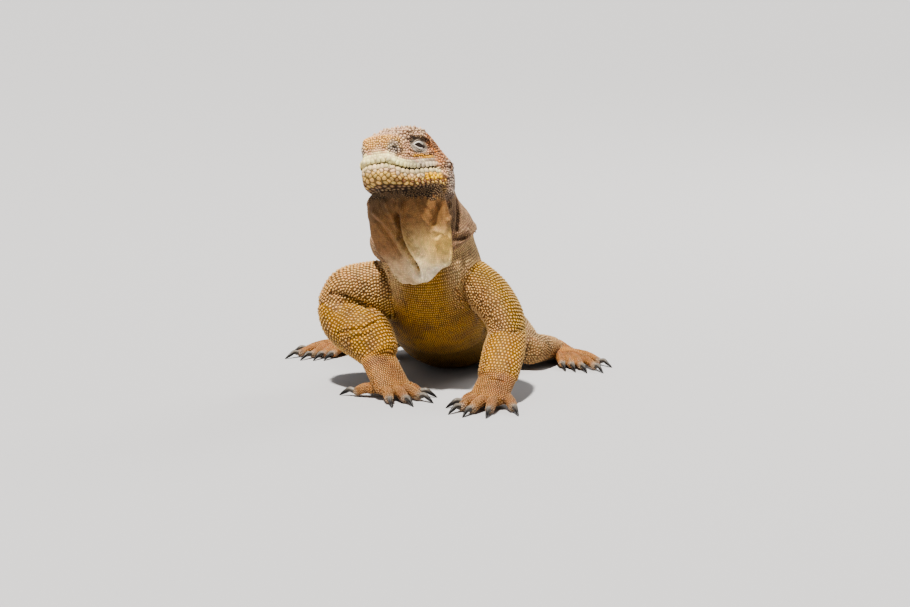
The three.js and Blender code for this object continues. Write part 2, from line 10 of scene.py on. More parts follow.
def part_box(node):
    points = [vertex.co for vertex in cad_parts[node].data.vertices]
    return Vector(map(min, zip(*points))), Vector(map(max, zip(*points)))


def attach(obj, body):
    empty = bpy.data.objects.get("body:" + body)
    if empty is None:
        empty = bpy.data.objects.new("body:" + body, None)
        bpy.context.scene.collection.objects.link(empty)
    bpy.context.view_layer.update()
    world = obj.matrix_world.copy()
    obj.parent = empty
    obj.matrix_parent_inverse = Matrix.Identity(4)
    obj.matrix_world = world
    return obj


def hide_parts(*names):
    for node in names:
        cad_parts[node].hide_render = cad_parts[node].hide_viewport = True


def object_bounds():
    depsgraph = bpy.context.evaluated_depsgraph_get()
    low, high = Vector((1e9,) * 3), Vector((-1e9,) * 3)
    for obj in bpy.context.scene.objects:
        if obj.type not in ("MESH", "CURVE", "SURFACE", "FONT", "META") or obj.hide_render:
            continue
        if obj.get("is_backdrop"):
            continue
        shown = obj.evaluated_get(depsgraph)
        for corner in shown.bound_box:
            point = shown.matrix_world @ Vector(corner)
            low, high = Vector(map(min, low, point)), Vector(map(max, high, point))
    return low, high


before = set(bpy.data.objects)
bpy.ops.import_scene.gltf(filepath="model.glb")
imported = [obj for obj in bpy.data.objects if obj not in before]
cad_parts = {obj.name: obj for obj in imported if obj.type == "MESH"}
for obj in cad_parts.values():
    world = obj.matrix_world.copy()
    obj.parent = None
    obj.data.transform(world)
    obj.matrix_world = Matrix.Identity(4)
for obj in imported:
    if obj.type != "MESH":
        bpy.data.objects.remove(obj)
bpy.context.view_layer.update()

# The camera. It looks at the animal from the front, a little from its left and a little from above, through
# a long lens. Lengths here are millimetres from a point on the floor under the chest, which sits SHIFT away
# from the frame's own origin; the left eye, a piece of known place on the head, says how far.
MM = 0.001
HEAD_TURN = math.radians(24.6)
HEAD_LIFT = math.radians(14)
HEAD_TILT = math.radians(11)
SNOUT_TIP = np.array([-39.0, -92.0, 267.0])
EYE = (42.0, 19.4, 17.0)


def unit(v):
    v = np.asarray(v, float)
    return v / np.maximum(np.linalg.norm(v, axis=-1, keepdims=True), 1e-9)


head_back = np.array(
    [
        math.sin(HEAD_TURN) * math.cos(HEAD_LIFT),
        math.cos(HEAD_TURN) * math.cos(HEAD_LIFT),
        -math.sin(HEAD_LIFT),
    ]
)
level_left = np.array([math.cos(HEAD_TURN), -math.sin(HEAD_TURN), 0])
head_left = level_left * math.cos(HEAD_TILT) - np.cross(head_back, level_left) * math.sin(HEAD_TILT)
head_up = np.cross(head_left, head_back)


def on_head(s, w, z):
    s, w, z = (np.asarray(x, float)[..., None] for x in (s, w, z))
    return SNOUT_TIP + head_back * s + head_left * w + head_up * z


SHIFT = sum(np.array(corner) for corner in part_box("eye_left")) / 2 / MM - on_head(*EYE)

CAMERA_AZIMUTH = math.radians(10)
CAMERA_ELEVATION = math.radians(10)
CAMERA_DISTANCE = 3500.0
PHOTO = (910, 607)
PIXEL = 1.1  # millimetres at the animal
SENSOR = 36.0
AIM = (29.7, 95.15)  # right of and above the floor point, in the camera's own plane
to_right = np.array([math.cos(CAMERA_AZIMUTH), math.sin(CAMERA_AZIMUTH), 0])
to_camera = np.array(
    [
        math.sin(CAMERA_AZIMUTH) * math.cos(CAMERA_ELEVATION),
        -math.cos(CAMERA_AZIMUTH) * math.cos(CAMERA_ELEVATION),
        math.sin(CAMERA_ELEVATION),
    ]
)
to_top = np.cross(to_camera, to_right)
camera_place = to_right * AIM[0] + to_top * AIM[1] + to_camera * CAMERA_DISTANCE
camera = bpy.data.objects.new("camera", bpy.data.cameras.new("camera"))
bpy.context.scene.collection.objects.link(camera)
camera.location = (camera_place + SHIFT) * MM
camera.rotation_mode = "QUATERNION"
camera.rotation_quaternion = Vector(-to_camera).to_track_quat("-Z", "Y")
camera.data.sensor_width = SENSOR
camera.data.lens = SENSOR * CAMERA_DISTANCE / (PHOTO[0] * PIXEL)
camera.data.clip_start = 0.1
camera.data.clip_end = 60
bpy.context.scene.camera = camera


# The skin: one hide over head, throat, trunk, tail, limbs and toes, without a seam. Each length is a rounded
# form through measured stations, the forms are fused into one closed surface, and its folds are pressed in.
def eased(a, b, d, e, f):
    """The smooth value a share f of the way from b to d, where a and e are the values before and after."""
    return b + 0.5 * f * (d - a + f * (2 * a - 5 * b + 4 * d - e + f * (3 * (b - d) + e - a)))


def between(rows, t):
    """The smooth value of a table of stations at each t."""
    rows = np.asarray(rows, float)
    last = len(rows) - 1
    t = np.asarray(t, float)
    i = np.clip(np.floor(t).astype(int), 0, last - 1)
    f = (t - i)[..., None]
    return eased(*(rows[np.clip(i + k, 0, last)] for k in (-1, 0, 1, 2)), f)


def look_up(rows, place):
    """The smooth value of a table at each place, where the first column says the place."""
    rows = np.asarray(rows, float)
    place = np.asarray(place, float)
    i = np.clip(np.searchsorted(rows[:, 0], place) - 1, 0, len(rows) - 2)
    f = (place - rows[i, 0]) / (rows[i + 1, 0] - rows[i, 0])
    return between(rows, i + np.clip(f, 0, 1))


TANGENT_REACH = 0.4  # how far to each side a line's direction is measured, in stations
WALK_SAMPLES = 900
CAP_RINGS = 6
SIDEWAYS = np.array([1.0, 0, 0])


def frame_at(rows, t, side):
    """The middle of a line of stations at each t, with its tangent, side and upper direction."""
    last = len(rows) - 1
    middles = [between(rows, np.clip(t + k, 0, last))[..., :3] for k in (TANGENT_REACH, -TANGENT_REACH)]
    tangent = unit(middles[0] - middles[1])
    across = unit(side - tangent * (tangent @ side)[..., None])
    return between(rows, np.clip(t, 0, last))[..., :3], tangent, across, np.cross(across, tangent)


def on_loft(rows, t, angle, side, grow=0.0, into=0.0, end=0.0, cap=0.6):
    """Points of a rounded form's surface and their outward directions."""
    middle, tangent, across, upper = frame_at(rows, t, side)
    wide, up, down = np.moveaxis(between(rows, np.clip(t, 0, len(rows) - 1))[..., 3:6], -1, 0)
    high = np.where(np.sin(angle) > 0, up, down) + grow
    size = np.cos(into * math.pi / 2)
    reach = end * np.sin(into * math.pi / 2) * (cap * (wide + up + down) / 3 + grow)
    w = (wide + grow) * size * np.cos(angle)
    h = high * size * np.sin(angle)
    points = middle + tangent * reach[..., None] + across * w[..., None] + upper * h[..., None]
    outward = across * (np.cos(angle) / (wide + grow))[..., None] + upper * (np.sin(angle) / high)[..., None]
    return points, unit(outward)


def walk(rows, step, start=0.0, end=None):
    """Places t along a line of stations that are about the step apart, which may depend on t."""
    end = len(rows) - 1 if end is None else end
    fine = np.linspace(start, end, WALK_SAMPLES)
    middles = between(rows, fine)[:, :3]
    steps = step(fine) if callable(step) else np.full(fine.shape, float(step))
    length = np.linalg.norm(np.diff(middles, axis=0), axis=1) / ((steps[1:] + steps[:-1]) / 2)
    along = np.concatenate([[0], np.cumsum(length)])
    return np.interp(np.linspace(0, along[-1], max(int(round(along[-1])), 2) + 1), along, fine)


class Forms:
    """Closed forms gathered for one mesh."""

    def __init__(self):
        self.points = []
        self.faces = []
        self.count = 0

    def add_rings(self, rings):
        """A closed form from rings of points; its first and last ring shrink to one point each."""
        rings = np.asarray(rings, float)
        count, around = rings.shape[:2]
        inner = rings[1:-1].reshape(-1, 3)
        first = self.count
        last = first + 1 + len(inner)
        self.points.append(np.concatenate([rings[0].mean(0)[None], inner, rings[-1].mean(0)[None]]))
        near = np.arange(around)
        far = (near + 1) % around
        for k in near:
            self.faces.append((first, first + 1 + far[k], first + 1 + k))
        for r in range(count - 3):
            a = first + 1 + r * around
            b = a + around
            self.faces += [(a + i, a + j, b + j, b + i) for i, j in zip(near, far)]
        a = first + 1 + (count - 3) * around
        for k in near:
            self.faces.append((last, a + k, a + far[k]))
        self.count = last + 1

    def add_loft(self, rows, side=SIDEWAYS, grow=0.0, cap=0.6, around=48, step=2.5):
        """A rounded form through the stations, with a domed cap at each end."""
        t = walk(rows, step)
        dome = np.linspace(1, 0, CAP_RINGS + 1)[:-1]
        into = np.concatenate([dome, np.zeros(len(t)), dome[::-1]])
        end = np.concatenate([np.full(CAP_RINGS, -1.0), np.zeros(len(t)), np.ones(CAP_RINGS)])
        t = np.concatenate([np.full(CAP_RINGS, t[0]), t, np.full(CAP_RINGS, t[-1])])
        angle = np.linspace(0, 2 * math.pi, around, endpoint=False)
        t, angle = np.meshgrid(t, angle, indexing="ij")
        into = np.broadcast_to(into[:, None], t.shape)
        end = np.broadcast_to(end[:, None], t.shape)
        self.add_rings(on_loft(np.asarray(rows, float), t, angle, side, grow, into, end, cap)[0])

    def add_ball(self, middle, axes, sizes, around=28, rings=16):
        """A closed ball, stretched by its three sizes along its three axes."""
        fall = np.linspace(0, math.pi, rings + 1)[:, None]
        turn = np.linspace(0, 2 * math.pi, around, endpoint=False)[None]
        parts = (np.cos(turn) * np.sin(fall), np.sin(turn) * np.sin(fall), np.cos(fall) + 0 * turn)
        offsets = sum(part[..., None] * axis * size for part, axis, size in zip(parts, axes, sizes))
        self.add_rings(middle + offsets)

    def mesh(self, name):
        mesh = bpy.data.meshes.new(name)
        points = (np.concatenate(self.points) + SHIFT) * MM
        mesh.from_pydata(points.tolist(), [], [tuple(map(int, face)) for face in self.faces])
        mesh.update()
        return mesh


def add_object(name, mesh):
    piece = bpy.data.objects.new(name, mesh)
    bpy.context.scene.collection.objects.link(piece)
    return piece


def settled(piece):
    """The piece's mesh with its modifiers worked in, which are then removed."""
    mesh = bpy.data.meshes.new_from_object(piece.evaluated_get(bpy.context.evaluated_depsgraph_get()))
    old = piece.data
    piece.modifiers.clear()
    piece.data = mesh
    bpy.data.meshes.remove(old)
    return mesh


def read(data, name, width=3):
    values = np.empty(len(data) * width, np.float32)
    data.foreach_get(name, values)
    return values.reshape(-1, width).astype(float)


HEAD_LENGTH = 110.0
MOUTH_CORNER = 62.0
# The lip line's height, by distance from the snout tip.
MOUTH = [(-12, -4), (0, -5.2), (6, -8.4), (12, -9.8), (20, -10.4), (30, -9.8), (42, -7.6), (54, -5.3)]
MOUTH += [(MOUTH_CORNER, -4.6), (HEAD_LENGTH, -6)]


def mouth_at(s):
    return look_up(MOUTH, s)[..., 1]


# The skull's half outline by distance from the snout: s, top z, brow w and z, side w and z, cheek w,
# upper lip w, lower lip w, jaw w and z, throat z.
SKULL = [
    (0, 17, 9, 15, 10, 6, 9.5, 10.5, 9, 7, -14.5, -16),
    (1.5, 22, 15.5, 19, 17, 10, 15.5, 17, 15.5, 13, -18, -20.5),
    (5, 26, 19.5, 23, 21.3, 13, 20.5, 22.5, 21.5, 20, -21.5, -25),
    (11, 28.8, 20.5, 25.5, 23.5, 14, 23.5, 25.8, 25, 24.5, -24.5, -29),
    (20, 32, 20, 29, 24.5, 15.5, 25.5, 28.3, 28, 29.5, -27, -33),
    (30, 36, 20.5, 33, 25.8, 17, 28, 30.8, 31, 33, -28.5, -35.5),
    (42, 40.5, 23, 36.5, 27.6, 18, 30.8, 33.8, 34.3, 35.5, -30, -37),
    (54, 42.6, 24, 37, 30.5, 17, 33.8, 36.6, 37.2, 37, -31, -38),
    (66, 41.8, 23, 35.5, 33.5, 14, 36.8, 38.6, 39.6, 38.3, -31.5, -38),
    (77, 38.6, 21, 31.5, 34.8, 13, 38.6, 40, 41.2, 39, -31.5, -37),
    (88, 32.5, 18.5, 25.5, 32.5, 11, 38, 39.8, 41, 38.5, -32, -37),
    (99, 24, 14.5, 18, 26.5, 9, 32, 34, 35, 33.5, -29, -33),
    (HEAD_LENGTH, 15, 8, 12, 15, 7.5, 18, 19, 20, 19, -19, -22),
]
THROAT_COLUMN = 11
SKULL_RADIUS = 26.0  # a fair mean, for growing the skull's outline by a few millimetres


def on_skull(turn, s, grow=0.0):
    """Points of the skull's surface, where turn 0 is the crown and 0.5 the throat."""
    _, top, brow_w, brow_z, side_w, side_z, cheek_w, lip_w, low_w, jaw_w, jaw_z, throat_z = np.moveaxis(
        look_up(SKULL, s), -1, 0
    )
    lips = mouth_at(s)
    half = [
        (0 * top, top),
        (brow_w * 0.55, top * 0.35 + brow_z * 0.65 + 1),
        (brow_w, brow_z),
        (side_w, side_z),
        (cheek_w, lips + 10.5),
        (lip_w, lips + 4.2),
        (np.minimum(lip_w, low_w) - 1.8, lips),
        (low_w, lips - 4),
        (jaw_w, jaw_z),
        (jaw_w * 0.5, (jaw_z + throat_z) / 2 - 1),
        (0 * top, throat_z),
    ]
    closed = np.array([(-half[1][0], half[1][1]), *half, (-half[-2][0], half[-2][1])])
    count = len(half) - 1
    t = np.where(turn > 0.5, 1 - turn, turn) * 2 * count + 1
    i = np.clip(np.floor(t).astype(int), 1, count)
    f = t - i
    flat = np.arange(t.size).reshape(t.shape)
    columns = closed.reshape(len(closed), 2, -1)
    w, z = np.moveaxis(eased(*(columns[i + k, :, flat] for k in (-1, 0, 1, 2)), f[..., None]), -1, 0)
    bigger = 1 + grow / SKULL_RADIUS
    return on_head(s, np.where(turn > 0.5, -w, w) * bigger, z * bigger)


# Neck, trunk and tail, by stations x, y, z, half width, back and belly.
SPINE = [
    (-9, -36, 270, 28, 24, 26),
    (-13, -22, 250, 38, 34, 38),
    (-14, -10, 226, 43, 38, 44),
    (-11, -1, 200, 47, 41, 47),
    (-7, 6, 180, 56, 44, 49),
    (-6, 9, 169, 61, 46, 49),
    (-3, 13, 158, 53, 44, 47),
    (0, 18, 138, 56, 46, 49),
    (0, 36, 110, 60, 50, 55),
    (0, 66, 87, 65, 50, 56),
    (0, 102, 67, 66, 47, 54),
    (0, 138, 54, 68, 45, 56),
    (0, 172, 47, 65, 42, 50),
    (0, 203, 42, 54, 38, 43.5),
    (0, 230, 37, 41, 33, 38.5),
    (0, 262, 32, 32, 28, 33),
    (-2, 312, 25, 26, 23, 26),
    (-8, 365, 20.5, 21, 20, 21.3),
    (-20, 425, 17.2, 17.5, 17, 18),
    (-36, 488, 14.1, 14.2, 14, 14.9),
    (-52, 550, 11.4, 11.3, 11.5, 12.2),
    (-66, 612, 8.9, 8.8, 9, 9.7),
    (-74, 670, 6.7, 6.6, 6.8, 7.5),
    (-80, 725, 4.7, 4.6, 4.8, 5.5),
    (-84, 767, 3.1, 3.1, 3.2, 3.8),
    (-86, 797, 2, 1.8, 2, 2.6),
]
DEWLAP = [
    (-28, -46, 230, 38, 14, 15),
    (-20, -49, 218, 45.5, 16, 18),
    (-12, -50, 204, 47.5, 15, 18),
    (-9.6, -48, 182, 47.5, 12, 14),
    (-4.6, -45, 160, 41, 8, 10),
    (-3.5, -43, 142, 29, 5, 7),
    (1.5, -42.5, 130, 15, 3.6, 5),
]
THROAT_ACROSS = np.array([0.98, -0.2, 0])

# Limbs from the body outwards, in the same columns. The pads are the middles of the toe tips.
LIMBS = {
    "fore_left": {
        "upper": [
            (44, 18, 120, 25, 25, 26),
            (66, 12, 106, 26, 24, 24),
            (84, 0, 85, 24, 22, 22),
            (90, -10, 66, 22, 21, 20),
        ],
        "lower": [
            (90, -9, 66, 21, 20, 20),
            (89, -26, 54, 23, 20, 20),
            (88, -42, 42, 23, 18, 17),
            (87, -56, 30, 22.5, 14, 14),
        ],
        "wrist": (87, -56, 28),
        "knuckles": (80, -86, 9.5),
        "palm": (21, 22, 13, 8),
        "pads": [(54, -82), (56, -108), (69, -118), (88, -118), (111, -102)],
        "medial": -1,
    },
    "fore_right": {
        "upper": [
            (-42, 16, 120, 26, 22, 46),
            (-67, 15, 118, 26, 21, 42),
            (-93, 15, 109, 25, 23, 27),
            (-106, 14, 90, 22, 21, 21),
        ],
        "lower": [
            (-105, 13, 88, 22, 22, 22),
            (-94, 3, 73, 26, 30, 25),
            (-69, -9, 63, 30, 34, 27),
            (-50, -24, 45, 23, 25, 17),
        ],
        "wrist": (-50, -27, 38),
        "knuckles": (-28, -53, 11),
        "palm": (21, 22, 13, 8),
        "pads": [(-3, -38), (1, -60), (-11, -76), (-27, -83), (-70, -48)],
        "medial": 1,
    },
    "hind_left": {
        "upper": [
            (30, 212, 45, 27, 25, 26),
            (55, 184, 40, 27, 24, 25),
            (77, 155, 31, 23, 20, 21),
            (91, 132, 23, 19, 16, 18),
        ],
        "lower": [
            (91, 132, 23, 19, 16, 17),
            (99, 155, 22, 19, 15.5, 17),
            (105, 182, 17.5, 16, 14, 15),
            (108, 203, 14, 13, 12, 12),
        ],
        "wrist": (111, 208, 13),
        "knuckles": (133, 176, 8),
        "palm": (13, 17, 10, 6.5),
        "pads": [(128, 148), (139, 144), (151, 140), (166, 142), (167, 172)],
        "medial": -1,
    },
    "hind_right": {
        "upper": [
            (-30, 214, 45, 27, 25, 26),
            (-56, 192, 40, 27, 24, 25),
            (-79, 168, 31, 23, 20, 21),
            (-94, 148, 23, 19, 16, 18),
        ],
        "lower": [
            (-94, 148, 23, 19, 16, 17),
            (-104, 170, 22, 19, 15.5, 17),
            (-112, 196, 17.5, 16, 14, 15),
            (-116, 216, 14, 13, 12, 12),
        ],
        "wrist": (-119, 221, 13),
        "knuckles": (-144, 190, 8),
        "palm": (13, 17, 10, 6.5),
        "pads": [(-141, 162), (-152, 159), (-165, 157), (-181, 161), (-178, 190)],
        "medial": 1,
    },
}
DIGIT_RADIUS = {"fore": 6.2, "hind": 5.4}
DIGIT_ARCH = 4.0
DIGIT_FLAT = 0.7  # how much the pad under each tip is flattened
FIRST_BACK, LAST_BACK = 8, 15  # how far behind the middle toe's root the outer toes spring
SIDE_OF = {"upper": np.array([0, 1.0, 0]), "lower": SIDEWAYS}


def palm_rows(limb):
    """Stations of a hand or foot from its wrist to its knuckles, with its side direction."""
    wrist, knuckles = np.array(limb["wrist"], float), np.array(limb["knuckles"], float)
    wide, knuckle_wide, thick, knuckle_thick = limb["palm"]
    rows = [
        (*wrist, wide, thick, thick),
        (*(wrist + knuckles) / 2, (wide + knuckle_wide) / 2, thick, (thick + knuckle_thick) / 2),
        (*knuckles, knuckle_wide, knuckle_thick, knuckle_thick + 1.5),
    ]
    along = knuckles - wrist
    return rows, unit((-along[1], along[0], 0))


def digit_rows(limb, index, radius):
    """Stations of one toe, from its knuckle to its padded tip, with the way it points and its side."""
    knuckles = np.array(limb["knuckles"], float)
    along = unit((knuckles - limb["wrist"]) * (1, 1, 0))
    across = np.array([-along[1], along[0], 0])
    across *= 1 if across[0] * limb["medial"] > 0 else -1
    share = 1 - index / 2
    base = knuckles + across * share * (limb["palm"][1] - radius)
    base = base - along * (FIRST_BACK if share > 0 else LAST_BACK) * share**2
    pad = np.array([*limb["pads"][index], base[2]])
    ahead = unit(pad - base)
    low = radius - DIGIT_FLAT
    heights = (knuckles[2] + 0.5, low + DIGIT_ARCH + 1, low + DIGIT_ARCH, low)
    places = (-0.25, 0.2, 0.6, 1)
    sizes = (1.05, 1.02, 0.98, 0.86)
    rows = []
    for place, height, size in zip(places, heights, sizes):
        x, y, _ = base + (pad - base) * place
        rows.append((x, y, height, radius * size, radius * size, radius * size))
    return rows, ahead, np.array([-ahead[1], ahead[0], 0])


DEPTH = 0.9  # how deep the skin lies inside the coat's own surface
forms = Forms()
HEAD_RINGS, HEAD_AROUND = 90, 112
head_s = HEAD_LENGTH * np.linspace(0, 1, HEAD_RINGS) ** 1.35  # closer together on the snout
turns, head_s = np.meshgrid(np.linspace(0, 1, HEAD_AROUND, endpoint=False), head_s)
skull_rings = on_skull(turns, head_s, -DEPTH)
skull_rings[0] = on_head(0.2, 0, 1)
skull_rings[-1] = on_head(HEAD_LENGTH + 3, 0, 2)
forms.add_rings(skull_rings)

LID_RADIUS = 9.6
LID_DEPTH = DEPTH / 2
BULGE_PLACE, BULGE_SIZES = (6, 15.5, 12), (5.6, 6, 5.2)  # the swelling round each nostril
HEAD_AXES = (head_left, head_back, head_up)
# The brow's ridge: s, w, z and size.
BROW = [
    (22, 22.5, 22.5, 2.6),
    (31, 24.2, 25.5, 3.2),
    (41, 26.2, 27.6, 3.6),
    (51, 28.4, 26.8, 3.4),
    (59, 30.4, 22.8, 2.6),
]
HANDS = (-1, 1)  # the animal's right and left
for hand in HANDS:
    lid_sizes = (LID_RADIUS - LID_DEPTH, LID_RADIUS + 1.4 - LID_DEPTH, LID_RADIUS - LID_DEPTH)
    forms.add_ball(on_head(EYE[0], EYE[1] * hand, EYE[2]), HEAD_AXES, lid_sizes)
    forms.add_ball(on_head(BULGE_PLACE[0], BULGE_PLACE[1] * hand, BULGE_PLACE[2]), HEAD_AXES, BULGE_SIZES)
    brow_rows = [(*on_head(s, w * hand, z), size, size * 0.77, size * 0.77) for s, w, z, size in BROW]
    forms.add_loft(brow_rows, head_left, -LID_DEPTH, around=16, step=2)

LIP_PLACES = (58, 44, 30, 18, 8, 2)


def lip_rows(above, inset, radius):
    """Stations of the roll of skin along one lip, from one mouth corner round the snout to the other."""
    def station(s, hand):
        w = (look_up(SKULL, s)[7 if above > 0 else 8] - inset) * hand if s else 0
        size = radius * (1 - 0.006 * s)
        place = on_head(max(s, inset), w, mouth_at(s) + above * size * 1.12)
        return (*place, size, size, size)

    left = [station(s, 1) for s in LIP_PLACES]
    right = [station(s, -1) for s in reversed(LIP_PLACES)]
    return left + [station(0, 1)] + right


for lip in ((1, 3, 4.6), (-1, 3.4, 4.2)):
    forms.add_loft(lip_rows(*lip), head_up, -LID_DEPTH, around=16, step=2)
forms.add_loft(SPINE, SIDEWAYS, -DEPTH, cap=0.3, around=96, step=3)
forms.add_loft(DEWLAP, THROAT_ACROSS, -DEPTH, cap=0.5, around=72, step=3)
lofts = [("dewlap", DEWLAP, THROAT_ACROSS)]
# The dewlap's free edge is a thin roll: the station, and how far it stands out on the left and right.
RIM_SIZE = 2.6
RIM = [
    (2.9, -2.6, -2.6),
    (3.5, -2.0, -2.2),
    (4.0, -0.4, -1.8),
    (4.5, 1.8, -1.4),
    (5.0, 3.4, -1.0),
    (5.5, 4.4, 0.2),
]
RIM_BOTTOM = [(8, -42.5, 130.6), (-2, -42.5, 130)]


def rim_side(hand):
    """Middles of the roll down one side of the dewlap."""
    places = []
    for station, left, right in RIM:
        middle, _, across, _ = frame_at(DEWLAP, np.array(station), THROAT_ACROSS)
        wide = between(DEWLAP, np.array(station))[3]
        places.append(tuple(middle + across * hand * (wide + (left if hand > 0 else right))))
    return places


rim_middles = rim_side(1) + RIM_BOTTOM + rim_side(-1)[::-1]
rim_rows = [(*place, RIM_SIZE, RIM_SIZE, RIM_SIZE) for place in rim_middles]
forms.add_loft(rim_rows, np.array([0, 1.0, 0]), around=16, step=2)
for limb_name, limb in LIMBS.items():
    kind = limb_name.split("_")[0]
    for part in ("upper", "lower"):
        forms.add_loft(limb[part], SIDE_OF[part], -DEPTH, step=3)
        lofts.append((f"{kind}_{part}", limb[part], SIDE_OF[part]))
    rows, side = palm_rows(limb)
    forms.add_loft(rows, side, -DEPTH * 0.7, step=3)
    lofts.append((f"{kind}_palm", rows, side))
    for index in range(5):
        rows, ahead, side = digit_rows(limb, index, DIGIT_RADIUS[kind])
        forms.add_loft(rows, side, -DEPTH * 0.6, cap=0.8, around=24, step=2)
        lofts.append((f"{kind}_digit", rows, side))
lofts.append(("spine", SPINE, SIDEWAYS))

# Fused and softened, the forms are one surface.
VOXEL = 0.0015
skin = add_object("skin", forms.mesh("skin"))
fuse = skin.modifiers.new("fuse", "REMESH")
fuse.mode = "VOXEL"
fuse.voxel_size = VOXEL
soften = skin.modifiers.new("soften", "SMOOTH")
soften.factor = 0.5
soften.iterations = 4
skin_mesh = settled(skin)

# Folds and wrinkles pressed into the hide, each a line drawn over it as the camera sees it, in pixels of the
# photograph, with its depth and half width in millimetres. A negative depth raises a ridge.
FOLDS = [
    (-7.0, 2.8, [(405, 190), (403, 210), (404, 228), (409, 243), (416, 255), (422, 265), (424, 278)]),
    (7.0, 3.2, [(398, 218), (401, 236), (407, 250), (414, 262), (418, 272)]),
    (-2.6, 3.0, [(374, 212), (384, 221), (393, 232), (400, 244)]),
    (2.6, 2.4, [(375, 221), (384, 231), (393, 244), (400, 256)]),
    (-2.2, 2.0, [(381, 190), (386, 203), (392, 216), (398, 230)]),
    (2.0, 1.8, [(391, 190), (395, 203), (397, 216)]),
    (1.6, 1.6, [(376, 194), (380, 205), (386, 216)]),
    (-1.8, 2.0, [(413, 192), (417, 206), (424, 219), (434, 230)]),
    (1.8, 1.8, [(420, 192), (425, 205), (433, 216)]),
    (6.5, 4.6, [(441, 206), (438, 216), (435, 226)]),
    (-3.4, 2.4, [(451, 192), (450, 206), (448, 220), (444, 232), (437, 240)]),
    (-2.2, 2.0, [(436, 231), (444, 232), (449, 238)]),
    (4.2, 2.6, [(455, 240), (466, 237), (480, 241)]),
    (-3.0, 3.2, [(456, 233), (467, 231), (479, 235)]),
    (3.6, 2.8, [(364, 246), (371, 248), (379, 254)]),
    (3.4, 2.6, [(457, 200), (458, 216), (455, 236)]),
    (2.6, 2.4, [(376, 262), (385, 275), (389, 292)]),
    (2.4, 2.0, [(464, 262), (466, 276), (464, 292), (470, 306)]),
    (-1.8, 2.4, [(458, 262), (459, 276), (458, 290)]),
    (4.6, 2.8, [(330, 293), (346, 296), (360, 302), (373, 311)]),
    (2.0, 1.6, [(337, 333), (352, 330), (366, 327), (376, 322)]),
    (1.6, 1.6, [(348, 339), (362, 336), (372, 330)]),
    (2.6, 1.8, [(476, 379), (490, 378), (503, 382), (513, 390)]),
    (1.8, 1.6, [(506, 331), (515, 331), (523, 329)]),
    (2.2, 2.2, [(468, 283), (476, 298), (478, 316), (486, 330)]),
    (1.4, 1.8, [(479, 277), (483, 292), (481, 306)]),
    (-1.2, 1.6, [(407, 152), (415, 155), (424, 154), (432, 152)]),
    (1.4, 1.0, [(409, 150), (417, 152), (425, 151)]),
    (1.2, 1.0, [(408, 136), (415, 135), (424, 138), (429, 142)]),
]


def surface_of(mesh):
    mesh.calc_loop_triangles()
    points = read(mesh.vertices, "co") / MM - SHIFT
    triangles = read(mesh.loop_triangles, "vertices").astype(int)
    return points, triangles, BVHTree.FromPolygons(points.tolist(), triangles.tolist())


def seen_at(tree, pixel):
    """Where the camera's line of sight through a pixel meets the surface."""
    x = (pixel[0] - PHOTO[0] / 2) * PIXEL
    y = (PHOTO[1] / 2 - pixel[1]) * PIXEL
    direction = unit(to_right * x + to_top * y - to_camera * CAMERA_DISTANCE)
    hit = tree.ray_cast(camera_place, direction)[0]
    return None if hit is None else np.array(hit)


def distance_to_line(points, line):
    """Each point's distance from a line of straight stretches."""
    best = np.full(len(points), 1e9)
    for a, b in zip(line[:-1], line[1:]):
        run = b - a
        f = np.clip((points - a) @ run / (run @ run), 0, 1)
        best = np.minimum(best, np.linalg.norm(points - a - f[:, None] * run, axis=1))
    return best


points, triangles, tree = surface_of(skin_mesh)
normals = read(skin_mesh.vertex_normals, "vector")
press = np.zeros(len(points))
for depth, half_width, pixels in FOLDS:
    line = [place for place in (seen_at(tree, pixel) for pixel in pixels) if place is not None]
    if len(line) > 1:
        line = between(line, np.linspace(0, len(line) - 1, len(line) * 5))
        press += depth * np.exp(-((distance_to_line(points, line) / half_width) ** 2))


def head_place(points):
    """Each point's s, w and z on the head."""
    offset = points - SNOUT_TIP
    return offset @ head_back, offset @ head_left, offset @ head_up


MOUTH_DEPTH, MOUTH_HALF_WIDTH = 2.2, 1.1  # of the groove between the lips


def near_lip_line(places, reach):
    """Which places lie within reach of the line between the lips."""
    s, w, z = head_place(places)
    return (s > -6) & (s < MOUTH_CORNER + 2) & (np.abs(w) < 46) & (np.abs(z - mouth_at(s)) < reach)


s, w, z = head_place(points)
groove = MOUTH_DEPTH * np.exp(-(((z - mouth_at(s)) / MOUTH_HALF_WIDTH) ** 2))
press += np.where(near_lip_line(points, np.inf), groove, 0)
FLOOR_GAP = 0.15  # how far the hide stays over the floor
points = points - normals * press[:, None]
points[:, 2] = np.maximum(points[:, 2], FLOOR_GAP)
skin_mesh.vertices.foreach_set("co", ((points + SHIFT) * MM).ravel())
skin_mesh.update()

# The eyes' openings, the nostrils and the ears are hollows in the hide, each cut with an ellipsoid: its place
# on the head, and its half width, length and height.
EYE_OPENING = (EYE[0] + 0.5, EYE[1] + 11, EYE[2] + 0.3), (7.5, 8.4, 3.2)
NOSTRIL = (4.5, 21.4, 10.5), (3, 2.0, 1.7)
EAR = (87, 39.5, -1), (5.0, 4.0, 6.8)
HOLLOWS = []
for hand in HANDS:
    for (s, w, z), sizes in (EYE_OPENING, NOSTRIL, EAR):
        HOLLOWS.append((on_head(s, w * hand, z), sizes))
cutters = Forms()
for middle, sizes in HOLLOWS:
    cutters.add_ball(middle, HEAD_AXES, sizes, around=36, rings=20)
cutter = add_object("cutter", cutters.mesh("cutter"))
cut = skin.modifiers.new("cut", "BOOLEAN")
cut.operation = "DIFFERENCE"
cut.solver = "FAST"
cut.object = cutter
thin = skin.modifiers.new("thin", "DECIMATE")
thin.ratio = 0.5
skin_mesh = settled(skin)
bpy.data.objects.remove(cutter)
points, triangles, tree = surface_of(skin_mesh)
